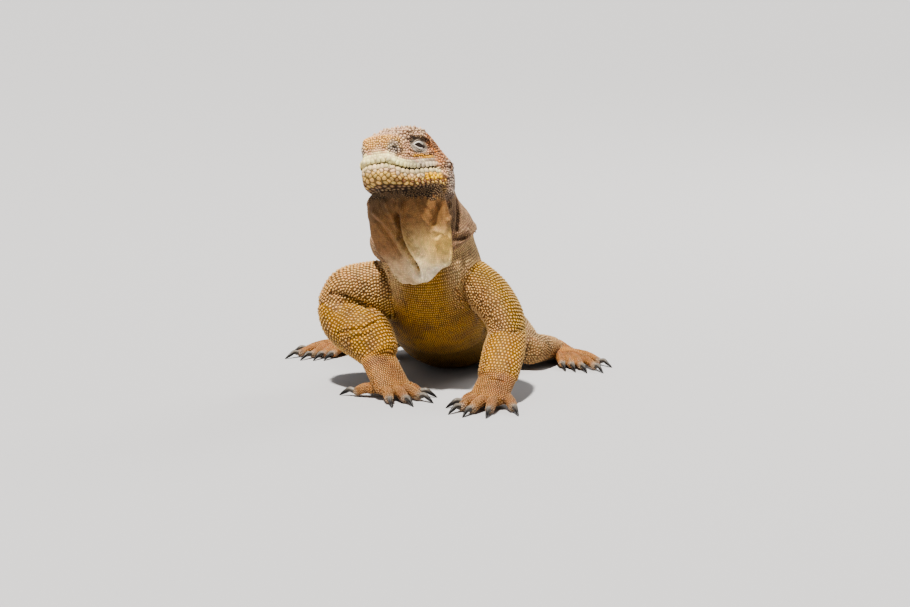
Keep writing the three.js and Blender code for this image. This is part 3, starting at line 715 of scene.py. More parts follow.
FLESH = [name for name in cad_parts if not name.startswith(("eye_", "claw_"))]
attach(skin, "root")
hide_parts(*FLESH)

# The coat: small horny scales over all of the hide, in rows that run round each length and lap towards the
# tail or the toes. On the head they are uneven plates and knobs. Each one reaches half way to its neighbours,
# so they fit like paving, with their edges sunk in the hide.
normals = read(skin_mesh.vertex_normals, "vector")
skin_points = points
face_normals = unit(normals[triangles].sum(axis=1))
START = 12.0  # millimetres outside the form from where the hide is looked for
ALLOWED = 7.0  # how far the hide may lie inside the form
FACING = -0.25  # how squarely the hide has to face the line that meets it


def find_on_skin(origins, inward, start=START, allowed=ALLOWED):
    """Where lines from outside meet the hide: which of them do, the places and the smooth normals."""
    found, places, faces = [], [], []
    for i, (origin, way) in enumerate(zip(origins - inward * start, inward)):
        place, normal, face, _ = tree.ray_cast(origin, way, start + allowed)
        if place is not None and normal.dot(Vector(way)) < FACING:
            found.append(i)
            places.append(place)
            faces.append(face)
    return np.array(found, int), np.array(places).reshape(-1, 3), face_normals[np.array(faces, int)]


def ramp(x, low, high):
    """0 below the lower value, 1 above the higher one and smooth between."""
    f = np.clip((np.asarray(x, float) - low) / (high - low), 0, 1)
    return f * f * (3 - 2 * f)


def mottle(places, size, seed):
    """Smooth patches from 0 to 1 with a given size in millimetres."""
    q = places / size
    cell = np.floor(q).astype(np.int64)
    f = q - cell
    f = f * f * (3 - 2 * f)
    total = np.zeros(len(places))
    for corner in np.ndindex(2, 2, 2):
        k = cell + corner
        h = (k[:, 0] * 73856093) ^ (k[:, 1] * 19349663) ^ (k[:, 2] * 83492791) ^ (seed * 26544357)
        h = ((h ^ (h >> 13)) * 1274126177) & 0x7FFFFFFF
        weight = np.prod(np.where(np.array(corner) == 1, f, 1 - f), axis=1)
        total += weight * (h / 0x7FFFFFFF)
    return total


class Seeds:
    """The middles of the scales to be, region by region, with what each one needs."""

    COLUMNS = ("place", "normal", "lie", "spacing", "region", "along", "turn")

    def __init__(self):
        self.lists = {column: [] for column in self.COLUMNS}

    def add(self, place, normal, lie, spacing, region, along, turn):
        lie = unit(lie - normal * (lie * normal).sum(1)[:, None])
        count = len(place)
        values = (place, normal, lie, np.broadcast_to(spacing, count), np.full(count, region), along, turn)
        for column, value in zip(self.COLUMNS, values):
            self.lists[column].append(np.array(value))

    def joined(self):
        for column in self.COLUMNS:
            setattr(self, column, np.concatenate(self.lists[column]))

    def keep(self, which):
        for column in self.COLUMNS:
            setattr(self, column, getattr(self, column)[which])


seeds = Seeds()

# The lips' plates, in rows along the mouth: height over the lip line, length of a plate and size for the
# scales' own limits. Next to the line they are large, and on the jaw long and narrow. The rows are found by
# lines swung round the middle of the mouth.
LIP_ROWS = [
    (3.6, 5.4, 6.0),
    (8.8, 3.0, 3.8),
    (11.6, 2.6, 3.2),
    (-3.6, 5.8, 6.0),
    (-7.6, 7.4, 5.6),
    (-9.8, 7.8, 5.6),
    (-12.0, 7.8, 5.6),
    (-14.2, 7.4, 5.6),
    (-16.4, 6.8, 5.2),
    (-18.6, 6.2, 5.0),
    (-20.8, 5.6, 4.6),
]
LIPS_END = -6  # lower rows belong to the jaw
UPPER_PAST, LOWER_PAST = 4, 9  # how far the rows run past the mouth's corner
SWING_MIDDLE = (40.0, 0, -8.0)
SWING_START, SWING_ALLOWED = 78, 17
swing = np.radians(np.linspace(-128, 128, 500))
chance = np.random.default_rng(7)


def follow(marks, along, values):
    """Values along a line at the marked lengths."""
    return np.stack([np.interp(marks, along, values[:, k]) for k in range(3)], axis=1)


for height, length, size in LIP_ROWS:
    inward = head_back * np.cos(swing)[:, None] - head_left * np.sin(swing)[:, None]
    level = np.full(swing.shape, SWING_MIDDLE[2] + height)
    for _ in range(3):
        origins = on_head(SWING_MIDDLE[0], SWING_MIDDLE[1], level)
        found, places, facing = find_on_skin(origins, inward, SWING_START, SWING_ALLOWED)
        level[found] = mouth_at(head_place(places)[0]) + height
    inside = head_place(places)[0] < MOUTH_CORNER + (UPPER_PAST if height > 0 else LOWER_PAST)
    places, facing = places[inside], facing[inside]
    along = np.concatenate([[0], np.cumsum(np.linalg.norm(np.diff(places, axis=0), axis=1))])
    marks = np.cumsum(length * chance.uniform(0.7, 1.35, int(along[-1] / length)))
    marks = marks[marks < along[-1]]
    row = follow(marks, along, places)
    facing = unit(follow(marks, along, facing))
    lie = np.gradient(row, axis=0)
    name = "lips" if height > LIPS_END else "jaw_rows"
    seeds.add(row, facing, lie, size, name, marks / along[-1], np.full(len(row), 0.5 + height / 60))

# The lids' granules, in rings round each opening: half length, half height and size.
LID_RINGS = [(9.6, 4.6, 1.1), (10.7, 6.0, 1.3), (11.8, 7.6, 1.5)]
for hand in HANDS:
    for ring, (across, high, size) in enumerate(LID_RINGS):
        count = int(2 * math.pi * math.sqrt((across**2 + high**2) / 2) / size)
        angle = np.arange(count) / count * 2 * math.pi
        offsets = head_back * (np.cos(angle) * across)[:, None] + head_up * (np.sin(angle) * high)[:, None]
        origins = on_head(EYE[0] + 0.5, (EYE[1] + 8) * hand, EYE[2] + 0.3) + offsets
        inward = np.broadcast_to(-head_left * hand, origins.shape)
        found, places, facing = find_on_skin(origins, inward, 12, 10)
        lie = unit(offsets[found])
        turn = np.full(len(found), 0.2 + 0.1 * ring)
        seeds.add(places, facing, lie, size, "lids", angle[found] / (2 * math.pi), turn)

# The rest of the head's plates and knobs, scattered as evenly as their sizes allow: small on the chin and
# round the eyes, and large on the crown and the jowls. Lines towards the skull's core find the hide, and on
# the snout's end lines from straight in front.
SCATTER_STEP, SCATTER_TURN = 1.25, 0.0065
HEAD_SCALE = 2.7
CROWN_LARGER, JOWL_LARGER, CHIN_SMALLER = 1.3, 0.9, 0.7
LID_SCALE = 1.5
UPPER_BAND, LOWER_BAND = 13.4, -22.4  # the lips' rows fill the space between these heights
scatter_s, scatter_turn = np.arange(1, 109, SCATTER_STEP), np.arange(0, 1, SCATTER_TURN)
grid_s, grid_turn = np.meshgrid(scatter_s, scatter_turn, indexing="ij")
grid_s = (grid_s + chance.uniform(-0.5, 0.5, grid_s.shape)).ravel()
grid_turn = (grid_turn + chance.uniform(0, 0.006, grid_turn.shape)).ravel() % 1
outside = on_skull(grid_turn, grid_s, 9.0)
inward = unit(on_head(grid_s * 0.8 + 10, 0, 4) - outside)
front_w, front_z = (g.ravel() for g in np.meshgrid(np.arange(-22, 22, 1.2), np.arange(-20, 30, 1.2)))
outside = np.concatenate([outside, on_head(-8, front_w, front_z)])
inward = np.concatenate([inward, np.broadcast_to(head_back, (len(front_w), 3))])
grid_turn = np.concatenate([grid_turn, 0.5 + front_w / 100])
found, places, facing = find_on_skin(outside, inward, 0, 24)
order = chance.permutation(len(found))
places, facing, grid_turn = places[order], facing[order], grid_turn[found][order]
s, w, z = head_place(places)
level = z - mouth_at(s)
free = (level > UPPER_BAND) | (level < LOWER_BAND)
free |= s > MOUTH_CORNER + np.where(level > 0, UPPER_PAST, LOWER_PAST)
free &= z > look_up(SKULL, s)[:, THROAT_COLUMN] - 1.5
places, facing, grid_turn, s, w, z = (values[free] for values in (places, facing, grid_turn, s, w, z))
size = np.full(len(places), HEAD_SCALE)
size += CROWN_LARGER * ramp(z - 0.45 * s, 5, 11) * ramp(s, 8, 22)
size += JOWL_LARGER * ramp(s, 64, 76) * ramp(z, -8, 0)
size -= CHIN_SMALLER * ramp(-z, 18, 26)
lid_middles = [on_head(EYE[0], EYE[1] * hand * 1.3, EYE[2]) for hand in HANDS]
eye_far = np.minimum(*(np.linalg.norm(places - middle, axis=1) for middle in lid_middles))
size = np.where(eye_far < 14, LID_SCALE + (eye_far - 7).clip(0) * 0.16, size)
lie = np.broadcast_to(head_back, places.shape)
seeds.add(places, facing, lie, size, "head", np.clip(s / HEAD_LENGTH, 0, 1), grid_turn)

# The rows of the throat, limbs, trunk and tail: spacing of the scales by region, in millimetres.
SPACING = {
    "dewlap": 1.9,
    "neck": 2.2,
    "chest": 2.3,
    "belly": 2.7,
    "tail": 3.2,
    "fore_upper": 3.7,
    "fore_lower": 4.0,
    "fore_palm": 2.6,
    "fore_digit": 2.2,
    "hind_upper": 3.5,
    "hind_lower": 3.3,
    "hind_palm": 2.6,
    "hind_digit": 2.1,
}
FOLD_STATION = 5.6  # where the neck ends, in stations of the spine
WAIST_STATION = 9.5
RUMP_STATION = 14.4
ROW_SHARE = 0.87  # the rows are this much closer than the scales in a row
UNEVEN = 0.15  # how far a scale strays from its place in the row, as a share of its size


def spine_region(t):
    before = [t < FOLD_STATION, t < WAIST_STATION, t < RUMP_STATION]
    return np.select(before, ["neck", "chest", "belly"], "tail")


def spine_spacing(t):
    """The scales' spacing along the spine, finer where the tail is thin."""
    region = np.vectorize(SPACING.get)(spine_region(t))
    return np.clip(region, None, 1.3 + between(SPINE, t)[..., 3] * 0.13)


def add_rows(name, rows, side):
    """Rows of scales round one form, every other row shifted by half a scale."""
    rows = np.asarray(rows, float)
    last = len(rows) - 1
    step = (lambda t: spine_spacing(t) * ROW_SHARE) if name == "spine" else SPACING[name] * ROW_SHARE
    dense = np.linspace(0, 2 * math.pi, 241)
    gathered = []
    for number, t in enumerate(walk(rows, step)):
        ring, _ = on_loft(rows, np.full(dense.shape, t), dense, side)
        length = np.concatenate([[0], np.cumsum(np.linalg.norm(np.diff(ring, axis=0), axis=1))])
        size = float(spine_spacing(np.array(t))) if name == "spine" else SPACING[name]
        count = max(int(round(length[-1] / size)), 5)
        angle = np.interp((np.arange(count) + 0.5 * (number % 2)) / count * length[-1], length, dense)
        ring, outward = on_loft(rows, np.full(count, t), angle, side)
        tangent = frame_at(rows, np.full(count, t), side)[1]
        gathered.append((ring, -outward, tangent, np.full(count, size), np.full(count, t / last), angle))
    origins, inward, lies, sizes, alongs, angles = map(np.concatenate, zip(*gathered))
    found, places, facing = find_on_skin(origins, inward)
    s, w, z = head_place(places)
    off_the_jaw = (s > MOUTH_CORNER + LOWER_PAST) | (z < look_up(SKULL, s)[:, THROAT_COLUMN] + 1)
    found, places, facing = found[off_the_jaw], places[off_the_jaw], facing[off_the_jaw]
    shift = chance.uniform(-UNEVEN, UNEVEN, (2, len(found), 1)) * sizes[found][:, None]
    places = places + lies[found] * shift[0] + np.cross(facing, lies[found]) * shift[1]
    values = (lies[found], sizes[found], alongs[found], angles[found] / (2 * math.pi))
    region = spine_region(values[2] * last) if name == "spine" else np.full(len(found), name)
    for part in np.unique(region):
        own = region == part
        lie, size, along, turn = (value[own] for value in values)
        seeds.add(places[own], facing[own], lie, size, part, along, turn)


for name, rows, side in lofts:
    add_rows(name, rows, side)
seeds.joined()


def in_hollow(places, grow=1.04):
    """Which places lie in a hollow, or in one grown by a share."""
    inside = np.zeros(len(places), bool)
    for middle, sizes in HOLLOWS:
        offset = places - middle
        parts = [(offset @ axis) / (size * grow) for axis, size in zip(HEAD_AXES, sizes)]
        inside |= sum(part**2 for part in parts) < 1
    return inside


# Seeds in a hollow, on the lip line or too close to an earlier one are dropped, and bare hide gets seeds of
# its own, which take after the nearest.
LEAST = {"lips": 0.42, "jaw_rows": 0.34, "lids": 0.5, "head": 0.8}  # as a share of the spacing
LEAST_ON_BODY = 0.66
BARE = 0.86  # how far from any seed the hide is bare, as a share of the spacing
seeds.keep(~in_hollow(seeds.place) & ~near_lip_line(seeds.place, 1.6) & (seeds.place[:, 2] > 0.05))
least = seeds.spacing * np.array([LEAST.get(region, LEAST_ON_BODY) for region in seeds.region])


def lookup_of(places):
    lookup = KDTree(len(places))
    for i, place in enumerate(places):
        lookup.insert(place, i)
    lookup.balance()
    return lookup


def thinned(places, least):
    """Which places are kept, when each needs its least distance from the ones kept before it."""
    lookup = lookup_of(places)
    kept = np.zeros(len(places), bool)
    widest = least.max()
    for i, place in enumerate(places):
        close = lookup.find_range(place, widest)
        kept[i] = not any(kept[j] and far < (least[i] + least[j]) / 2 for _, j, far in close)
    return kept


seeds.keep(thinned(seeds.place, least))


def nearest(places, others):
    """Which place is nearest to each of the others, and how far away it is."""
    lookup = lookup_of(places)
    found = [lookup.find(place)[1:] for place in others]
    return np.array([i for i, _ in found], int), np.array([far for _, far in found])


taken, far = nearest(seeds.place, skin_points)
bare = (far > seeds.spacing[taken] * BARE) & ~in_hollow(skin_points, 1.1) & ~near_lip_line(skin_points, 1.8)
bare = np.flatnonzero(bare & (skin_points[:, 2] > 0.05))
bare = bare[thinned(skin_points[bare], seeds.spacing[taken[bare]] * 0.8)]
like = taken[bare]
filled = {
    "place": skin_points[bare],
    "normal": normals[bare],
    "lie": seeds.lie[like],
    "spacing": seeds.spacing[like],
    "region": seeds.region[like],
    "along": seeds.along[like],
    "turn": seeds.turn[like],
}
filled["lie"] = unit(filled["lie"] - filled["normal"] * (filled["lie"] * filled["normal"]).sum(1)[:, None])
for column, value in filled.items():
    setattr(seeds, column, np.concatenate([getattr(seeds, column), value]))


# Colours, by region and place, with painted light and shade among them: painted shade under the jaw, under
# the brows, in a crease below each eye and round the nostrils, and painted light and shade on the throat.
# They are worked out once for each scale, and the hide takes the colour of the scale over it, so both carry
# the same markings and painted light.
def paint(code):
    srgb = np.array([(code >> shift & 255) / 255 for shift in (16, 8, 0)])
    return np.where(srgb <= 0.04045, srgb / 12.92, ((srgb + 0.055) / 1.055) ** 2.4)


def mixed(base, top, amount):
    return base + (top - base) * np.asarray(amount)[..., None]


def band(x, low, high, soft):
    """1 between two values and falling to 0 over a soft edge outside them."""
    return ramp(x, low - soft, low) * ramp(-x, -high - soft, -high)


def head_colours(places):
    """The colour of each place on the head."""
    s, w, z = head_place(places)
    patches = mottle(places, 7, 1)
    specks = mottle(places, 3.2, 2)
    level = z - mouth_at(s)
    lip = level + (mottle(places, 6, 6) - 0.5) * np.clip(np.abs(level) * 0.5, 0, 4)
    colour = np.broadcast_to(paint(0xDDAE88), places.shape)
    colour = mixed(colour, paint(0xB8784C), ramp(s, 48, 62) * ramp(z, -4, 4) * 0.8)
    colour = mixed(colour, paint(0xD9862C), ramp(s, 50, 60) * ramp(z, -2, 4) * ramp(patches, 0.5, 0.7) * 0.7)
    colour = mixed(colour, paint(0xDDB797), ramp(z - 0.4 * s, 6, 12) * ramp(s, 6, 16))
    dark = ramp(specks, 0.52, 0.66) * (0.25 + 0.75 * ramp(s, 30, 50)) * ramp(z, 6, 18)
    colour = mixed(colour, paint(0x5A3C2A), dark * 0.75)
    gold = band(s, -8, 12, 6) * band(z, 13, 24, 3) * ramp(patches, 0.15, 0.55)
    colour = mixed(colour, paint(0xEFB566), gold * 0.85)
    upper = ramp(lip, 0, 0.6) * ramp(13.0 - lip - 0.06 * s, 0, 2.5) * ramp(66 - s, 0, 8)
    colour = mixed(colour, mixed(paint(0xF4E3A8)[None], paint(0xD6C6A2), ramp(s, 14, 34)), upper)
    grey = ramp(lip, 4, 6.5) * ramp(16 - lip, 0, 4) * ramp(s, 16, 30) * ramp(68 - s, 0, 8)
    colour = mixed(colour, paint(0x8E8070), grey * ramp(specks, 0.35, 0.65) * 0.8)
    for hand in HANDS:
        near = np.linalg.norm(places - on_head(6, 20 * hand, 11.5), axis=1)
        colour = mixed(colour, paint(0xB0A596), ramp(9.5 - near, 0, 4) * 0.8)
        # Dark round the nostril's opening: painted shade at the mouth of the hole.
        colour = mixed(colour, paint(0x5E4E44), ramp(3.6 - near, 0, 1.2))
        colour = mixed(colour, paint(0x574438), band(near, 9.2, 10.4, 0.8) * ramp(s, 4, 9) * 0.7)
        offset = (places - on_head(EYE[0], (EYE[1] + 7) * hand, EYE[2])) @ np.stack(HEAD_AXES).T
        near = np.linalg.norm(offset / (10, 11.5, 7.4), axis=1)
        colour = mixed(colour, paint(0xBDB2A4), ramp(1.25 - near, 0, 0.3))
        colour = mixed(colour, paint(0x6F6258), ramp(1.25 - near, 0, 0.2) * ramp(specks, 0.45, 0.65) * 0.8)
        # Painted shade under the brow ridge: a dark band over the upper lid.
        shade_under_brow = band(offset[:, 2], 6.4, 9.0, 1.0) * band(offset[:, 1], -13, 13, 5) * ramp(w * hand, 8, 14)
        colour = mixed(colour, paint(0x4A3022), shade_under_brow * 0.85)
    under_eye = ramp(2.4 - np.abs(z - 6.0 - 0.05 * (s - 44)), 0, 1.4) * band(s, 33, 58, 5)
    colour = mixed(colour, paint(0xD79A2E), under_eye * 0.95)
    # A dark line along the crease below the eye: painted shade in the crease.
    crease_shade = ramp(1.0 - np.abs(z - 9.2 - 0.05 * (s - 44)), 0, 0.8) * band(s, 34, 56, 5)
    colour = mixed(colour, paint(0x5A3A26), crease_shade * 0.8)
    lower = ramp(-lip, 0, 0.6) * ramp(8.4 + level, 0, 1.6) * ramp(72 - s, 0, 8)
    colour = mixed(colour, paint(0xDCC698), lower)
    low = ramp(-level, 7.6, 9.4)
    colour = mixed(colour, paint(0xC9A05A), low * ramp(88 - s, 0, 20))
    rows = ramp(-np.cos((level + 0.5) * 2 * math.pi / 5.4), -0.1, 0.7)
    seams = low * ramp(24 + level, 0, 3) * rows * ramp(s, 2, 12)
    colour = mixed(colour, paint(0x6E3218), seams * 0.9)
    gold = ramp(-level, 6.4, 7.4) * ramp(14.0 + level, 0, 1.5) * band(s, 46, 70, 6)
    colour = mixed(colour, paint(0xFFBC2E), gold)
    # Painted shade under the head: the jaw's underside, and below it the throat, darkened as if the head
    # shaded them.
    colour = mixed(colour, paint(0x523A24), ramp(-level, 16, 20) * ramp(84 - s, 0, 20))
    colour = mixed(colour, paint(0x664B32), ramp(-level, 27, 32))
    return mixed(colour, paint(0xAE998A), ramp(s, 72, 84) * ramp(12 - z, 0, 10))


def body_colours(region, along, turn, places):
    """The colour of each scale below the head."""
    up = np.sin(turn * 2 * math.pi)
    patches = mottle(places, 14, 4)
    specks = mottle(places, 4.5, 5)
    t = along * (len(SPINE) - 1)
    plain = np.broadcast_to(paint(0xB98A45), places.shape)
    # trunk and tail
    back = mixed(plain, paint(0x7A5236), ramp(up, 0.1, 0.7))
    back = mixed(back, paint(0x4E3526), ramp(up, 0.3, 0.8) * ramp(patches, 0.5, 0.7))
    chest = mixed(back, paint(0xCF9420), ramp(-up, -0.45, 0.1))
    chest = mixed(chest, paint(0xE0A428), ramp(-up, 0.1, 0.6) * ramp(8.2 - t, 0, 2.0) * 0.8)
    chest = mixed(chest, paint(0x8A5A1A), ramp(patches, 0.5, 0.75) * 0.5)
    front = ramp(-up, 0.8, 0.97)
    shoulders = np.maximum(ramp(up, -0.35, 0.15) * ramp(9.0 - t, 0, 2), ramp(8.2 - t, 0, 1.6) * (1 - front))
    chest = mixed(chest, paint(0xF2CA96), shoulders * 0.9)
    belly = mixed(back, paint(0x97702A), ramp(-up, -0.2, 0.5))
    neck = mixed(np.broadcast_to(paint(0xB5906F), places.shape), paint(0x967052), ramp(up, 0.2, 0.9))
    neck = mixed(neck, paint(0x6E4E38), ramp(patches, 0.6, 0.8) * ramp(up, 0.2, 0.9) * 0.6)
    tail = mixed(mixed(plain, paint(0x80603F), ramp(up, -0.3, 0.5)), paint(0x5E4836), ramp(t, 18, 24) * 0.7)
    tail = mixed(tail, paint(0x4A3728), ramp(patches, 0.55, 0.75) * ramp(up, 0, 0.6) * 0.7)
    spine = {
        "neck": neck,
        "chest": mixed(chest, belly, ramp(t, 8.2, 10.5)),
        "belly": belly,
        "tail": mixed(belly, tail, ramp(t, 14, 16)),
    }
    # throat: painted shade at its top and on its right side, painted light low on its left side, and a pale
    # rim partly painted light
    rim = ramp(along, 0.55, 0.95)
    right_side_shade = ramp(-np.cos(turn * 2 * math.pi), -0.2, 0.5)
    # Painted shade at the throat's top, where the head shades it: darker above, lighter lower down.
    throat = mixed(np.broadcast_to(paint(0x6E5236), places.shape), paint(0x8E663C), ramp(along, 0.06, 0.34))
    # Painted light and shade low on the throat: bright cream on the animal's left, lit side, darker brown on
    # its right, shaded side.
    throat = mixed(throat, mixed(paint(0xFFE0A0)[None], paint(0x8E6440), right_side_shade), ramp(along, 0.35, 0.75))
    throat = mixed(throat, paint(0x8C6848), ramp(patches, 0.5, 0.8) * ramp(0.5 - along, 0, 0.3) * 0.5)
    # The rim's pale cream is partly its own colour and partly painted light on the curled edge.
    throat = mixed(throat, mixed(paint(0xFFEBC8)[None], paint(0xE4C498), right_side_shade), rim)
    # Painted light: a golden patch low on the throat's left side, where the light falls.
    lit_patch_left = ramp(np.cos(turn * 2 * math.pi), 0.1, 0.7) * ramp(along, 0.42, 0.62) * ramp(0.85 - along, 0, 0.2)
    throat = mixed(throat, paint(0xEDBE62), lit_patch_left * 0.7)
    # limbs
    inner = ramp(-up, 0.0, 0.8)
    arm = mixed(np.broadcast_to(paint(0xE2A55C), places.shape), paint(0xE0A52A), inner)
    forearm = mixed(np.broadcast_to(paint(0xE8A62E), places.shape), paint(0xD99A48), ramp(patches, 0.4, 0.8))
    hand = mixed(np.broadcast_to(paint(0xCE8C46), places.shape), paint(0xB4723A), ramp(patches, 0.4, 0.7))
    digit = mixed(hand, paint(0xB57E50), 0.5 * ramp(along, 0.2, 0.6))
    digit = mixed(digit, paint(0xBFA994), ramp(along, 0.84, 1) * 0.7)
    thigh = mixed(np.broadcast_to(paint(0xC99B69), places.shape), paint(0x9A7146), ramp(patches, 0.45, 0.75))
    limbs = {
        "fore_upper": arm,
        "fore_lower": forearm,
        "fore_palm": mixed(forearm, hand, ramp(along, 0.0, 0.25)),
        "fore_digit": digit,
        "hind_upper": thigh,
        "hind_lower": mixed(thigh, paint(0xB98B54), np.full(len(along), 0.5)),
        "hind_palm": hand,
        "hind_digit": digit,
    }
    colour = plain * 1.0
    for name, values in {**spine, **limbs, "dewlap": throat}.items():
        own = region == name
        colour[own] = values[own]
    return mixed(colour, colour * 0.72, ramp(specks, 0.55, 0.8))


on_the_head = np.isin(seeds.region, ("head", "lips", "jaw_rows", "lids"))
seeds.colour = body_colours(seeds.region, seeds.along, seeds.turn, seeds.place)
seeds.colour[on_the_head] = head_colours(seeds.place[on_the_head])
# Painted shade: head scales low on the throat take the dark throat tone, as shade under the jaw.
throat_shade_under_head = ramp(-head_place(seeds.place)[2], 31, 39) * on_the_head
seeds.colour = mixed(seeds.colour, paint(0x664B32), throat_shade_under_head)
HEAD_UNEVEN, BODY_UNEVEN, HUE_UNEVEN = 0.26, 0.17, 0.05
uneven = np.where(on_the_head, HEAD_UNEVEN, BODY_UNEVEN)
seeds.colour *= 1 + uneven[:, None] * chance.uniform(-1, 1, (len(seeds.place), 1))
seeds.colour *= 1 + HUE_UNEVEN * chance.uniform(-1, 1, (len(seeds.place), 3))

# What each region's scales look like: height as a share of their size, how low the front of the keel is (on
# the head, how far out the flat top reaches), how pale the tip is (the scales' own paler tips together with a
# painted highlight), and how dark the sunk rim is (the darker hide between scales together with painted
# shade).
SHAPE = {
    "head": (0.26, 0.70, 0.22, 0.30),
    "lips": (0.10, 0.9, 0.10, 0.62),
    "jaw_rows": (0.10, 0.86, 0.25, 0.34),
    "lids": (0.26, 0.70, 0.3, 0.4),
    "dewlap": (0.12, 0.9, 0.08, 0.86),
    "neck": (0.24, 0.7, 0.2, 0.42),
    "chest": (0.26, 0.5, 0.4, 0.32),
    "belly": (0.18, 0.7, 0.12, 0.42),
    "tail": (0.26, 0.4, 0.18, 0.40),
    "fore_upper": (0.42, 0.12, 0.55, 0.22),
    "fore_lower": (0.38, 0.12, 0.5, 0.26),
    "fore_palm": (0.3, 0.4, 0.4, 0.26),
    "fore_digit": (0.26, 0.5, 0.3, 0.32),
    "hind_upper": (0.34, 0.3, 0.4, 0.30),
    "hind_lower": (0.28, 0.4, 0.3, 0.36),
    "hind_palm": (0.2, 0.6, 0.2, 0.42),
    "hind_digit": (0.18, 0.6, 0.2, 0.45),
}
shape = np.array([SHAPE[region] for region in seeds.region])
s, w, z = head_place(seeds.place)
lips = seeds.region == "lips"
shape[lips, 3] += 0.24 * ramp(26 - s[lips], 0, 16)
KEELED_DEPTH = 0.13
flat = np.isin(seeds.region, ("lips", "jaw_rows"))
rim_depth = np.where(flat, 0.05, KEELED_DEPTH)
brim_height = np.where(flat, 0.3, 0.72)
# The pale tone of the scales' tips: partly their own colour, partly a painted highlight.
CREAM = paint(0xF2DDB0)
NEIGHBOURS = 14
REACH = 0.66  # the furthest a scale's rim may be from its middle, as a share of its spacing
MARGIN = 0.95  # of the way to the half-way line


lookup = lookup_of(seeds.place)
neighbours = np.array([[j for _, j, _ in lookup.find_n(place, NEIGHBOURS + 1)][1:] for place in seeds.place])
seeds.side = np.cross(seeds.normal, seeds.lie)


def rims(which, sides):
    """How far each chosen scale reaches in each of the directions round it."""
    offset = seeds.place[neighbours[which]] - seeds.place[which][:, None]
    x = (offset * seeds.lie[which][:, None]).sum(2)
    y = (offset * seeds.side[which][:, None]).sum(2)
    square = x * x + y * y
    angle = np.arange(sides) * 2 * math.pi / sides
    toward = x[..., None] * np.cos(angle) + y[..., None] * np.sin(angle)
    limit = np.where(toward > 1e-3, square[..., None] / np.maximum(2 * toward, 1e-3), 1e9).min(axis=1)
    return np.minimum(limit, seeds.spacing[which][:, None] * REACH) * MARGIN, angle


def lifted(which, along, across, height):
    """Points beside and over each chosen scale's place, in its own directions."""
    along, across, height = (v[..., None] for v in np.broadcast_arrays(along, across, height))
    return (
        seeds.place[which][:, None]
        + seeds.lie[which][:, None] * along
        + seeds.side[which][:, None] * across
        + seeds.normal[which][:, None] * height
    )


def keeled_scales(which):
    """Six-sided scales with a low ridge, highest at the tail end: corners, faces, tints and map offsets."""
    reach, angle = rims(which, 6)
    size = seeds.spacing[which][:, None]
    high = shape[which, :1] * size
    keel = shape[which, 1][:, None]
    stretch = np.array([1.12, 1, 1, 1, 1, 1])
    rim = lifted(which, reach * np.cos(angle) * stretch, reach * np.sin(angle), -KEELED_DEPTH * size)
    front = lifted(which, -0.42 * reach[:, 3:4], 0, high * keel)
    back = lifted(which, (0.38 + 0.4 * (1 - keel)) * reach[:, :1], 0, high)
    corners = np.concatenate([rim, front, back], axis=1)
    faces = [(1, 2, 6, 7), (2, 3, 6), (3, 4, 6), (4, 5, 7, 6), (5, 0, 7), (0, 1, 7), (5, 4, 3, 2, 1, 0)]
    base = seeds.colour[which]
    tint = np.repeat(base[:, None], 8, axis=1)
    # The rim is darkened and the ridge's back point paled: partly the scales' own tones, partly painted shade
    # in the gaps and a painted highlight on the ridge.
    tint[:, :6] *= shape[which, 3][:, None, None]
    tint[:, 7] = mixed(base, CREAM, shape[which, 2])
    spots = [(math.cos(a), math.sin(a)) for a in angle] + [(-0.4, 0), (0.4, 0)]
    return corners, faces, tint, spots


def plates(which):
    """Eight-sided plates and knobs with a brim round the top: corners, faces, tints and map offsets."""
    reach, angle = rims(which, 8)
    size = seeds.spacing[which][:, None]
    high = shape[which, :1] * size * knob[which][:, None]
    rim = lifted(which, reach * np.cos(angle), reach * np.sin(angle), -rim_depth[which][:, None] * size)
    top_reach = reach * np.clip(shape[which, 1] - 0.12 * (knob[which] - 1), 0.4, 1)[:, None]
    brim_high = brim_height[which][:, None] * high
    brim = lifted(which, top_reach * np.cos(angle), top_reach * np.sin(angle), brim_high)
    top = lifted(which, 0.12 * reach[:, :1], 0, high * 1.15)
    corners = np.concatenate([rim, brim, top], axis=1)
    faces = [(i, (i + 1) % 8, 8 + (i + 1) % 8, 8 + i) for i in range(8)]
    faces += [(8 + i, 8 + (i + 1) % 8, 16) for i in range(8)]
    faces.append(tuple(range(7, -1, -1)))
    base = seeds.colour[which]
    tint = np.repeat(base[:, None], 17, axis=1)
    # The rim is darkened and the top paled: partly the plates' own tones, partly painted shade in the gaps
    # and a painted highlight on the top.
    tint[:, :8] *= shape[which, 3][:, None, None]
    tint[:, 16] = mixed(base, CREAM, shape[which, 2])
    spots = [(far * math.cos(a), far * math.sin(a)) for far in (1, 0.6) for a in angle]
    return corners, faces, tint, spots + [(0, 0)]


# How many times higher a plate is than a plain one: up to four times on the crown, and twice on the jowls.
crown = ramp(z - 0.45 * s, 6, 12) * ramp(s, 14, 30) * on_the_head
knob = 1 + 3.0 * crown * chance.uniform(0, 1, len(s)) ** 1.6
jowl = ramp(s, 66, 78) * ramp(z, -14, -6) * ramp(8 - z, 0, 6) * on_the_head
knob += 0.9 * jowl * chance.uniform(0, 1, len(s))


def set_tint(mesh, colours):
    """Give a smooth mesh a colour at each point, for the finishes to use."""
    tints = mesh.color_attributes.new("Tint", "FLOAT_COLOR", "POINT")
    rgba = np.concatenate([np.clip(colours, 0, 1), np.ones((len(colours), 1))], axis=1)
    tints.data.foreach_set("color", rgba.ravel().astype(np.float32))
    mesh.polygons.foreach_set("use_smooth", np.ones(len(mesh.polygons), bool))


MAP_SPREAD = 0.0015
MAP_MARGIN = 0.03
LOWEST = 0.02  # nothing of the coat reaches lower over the floor


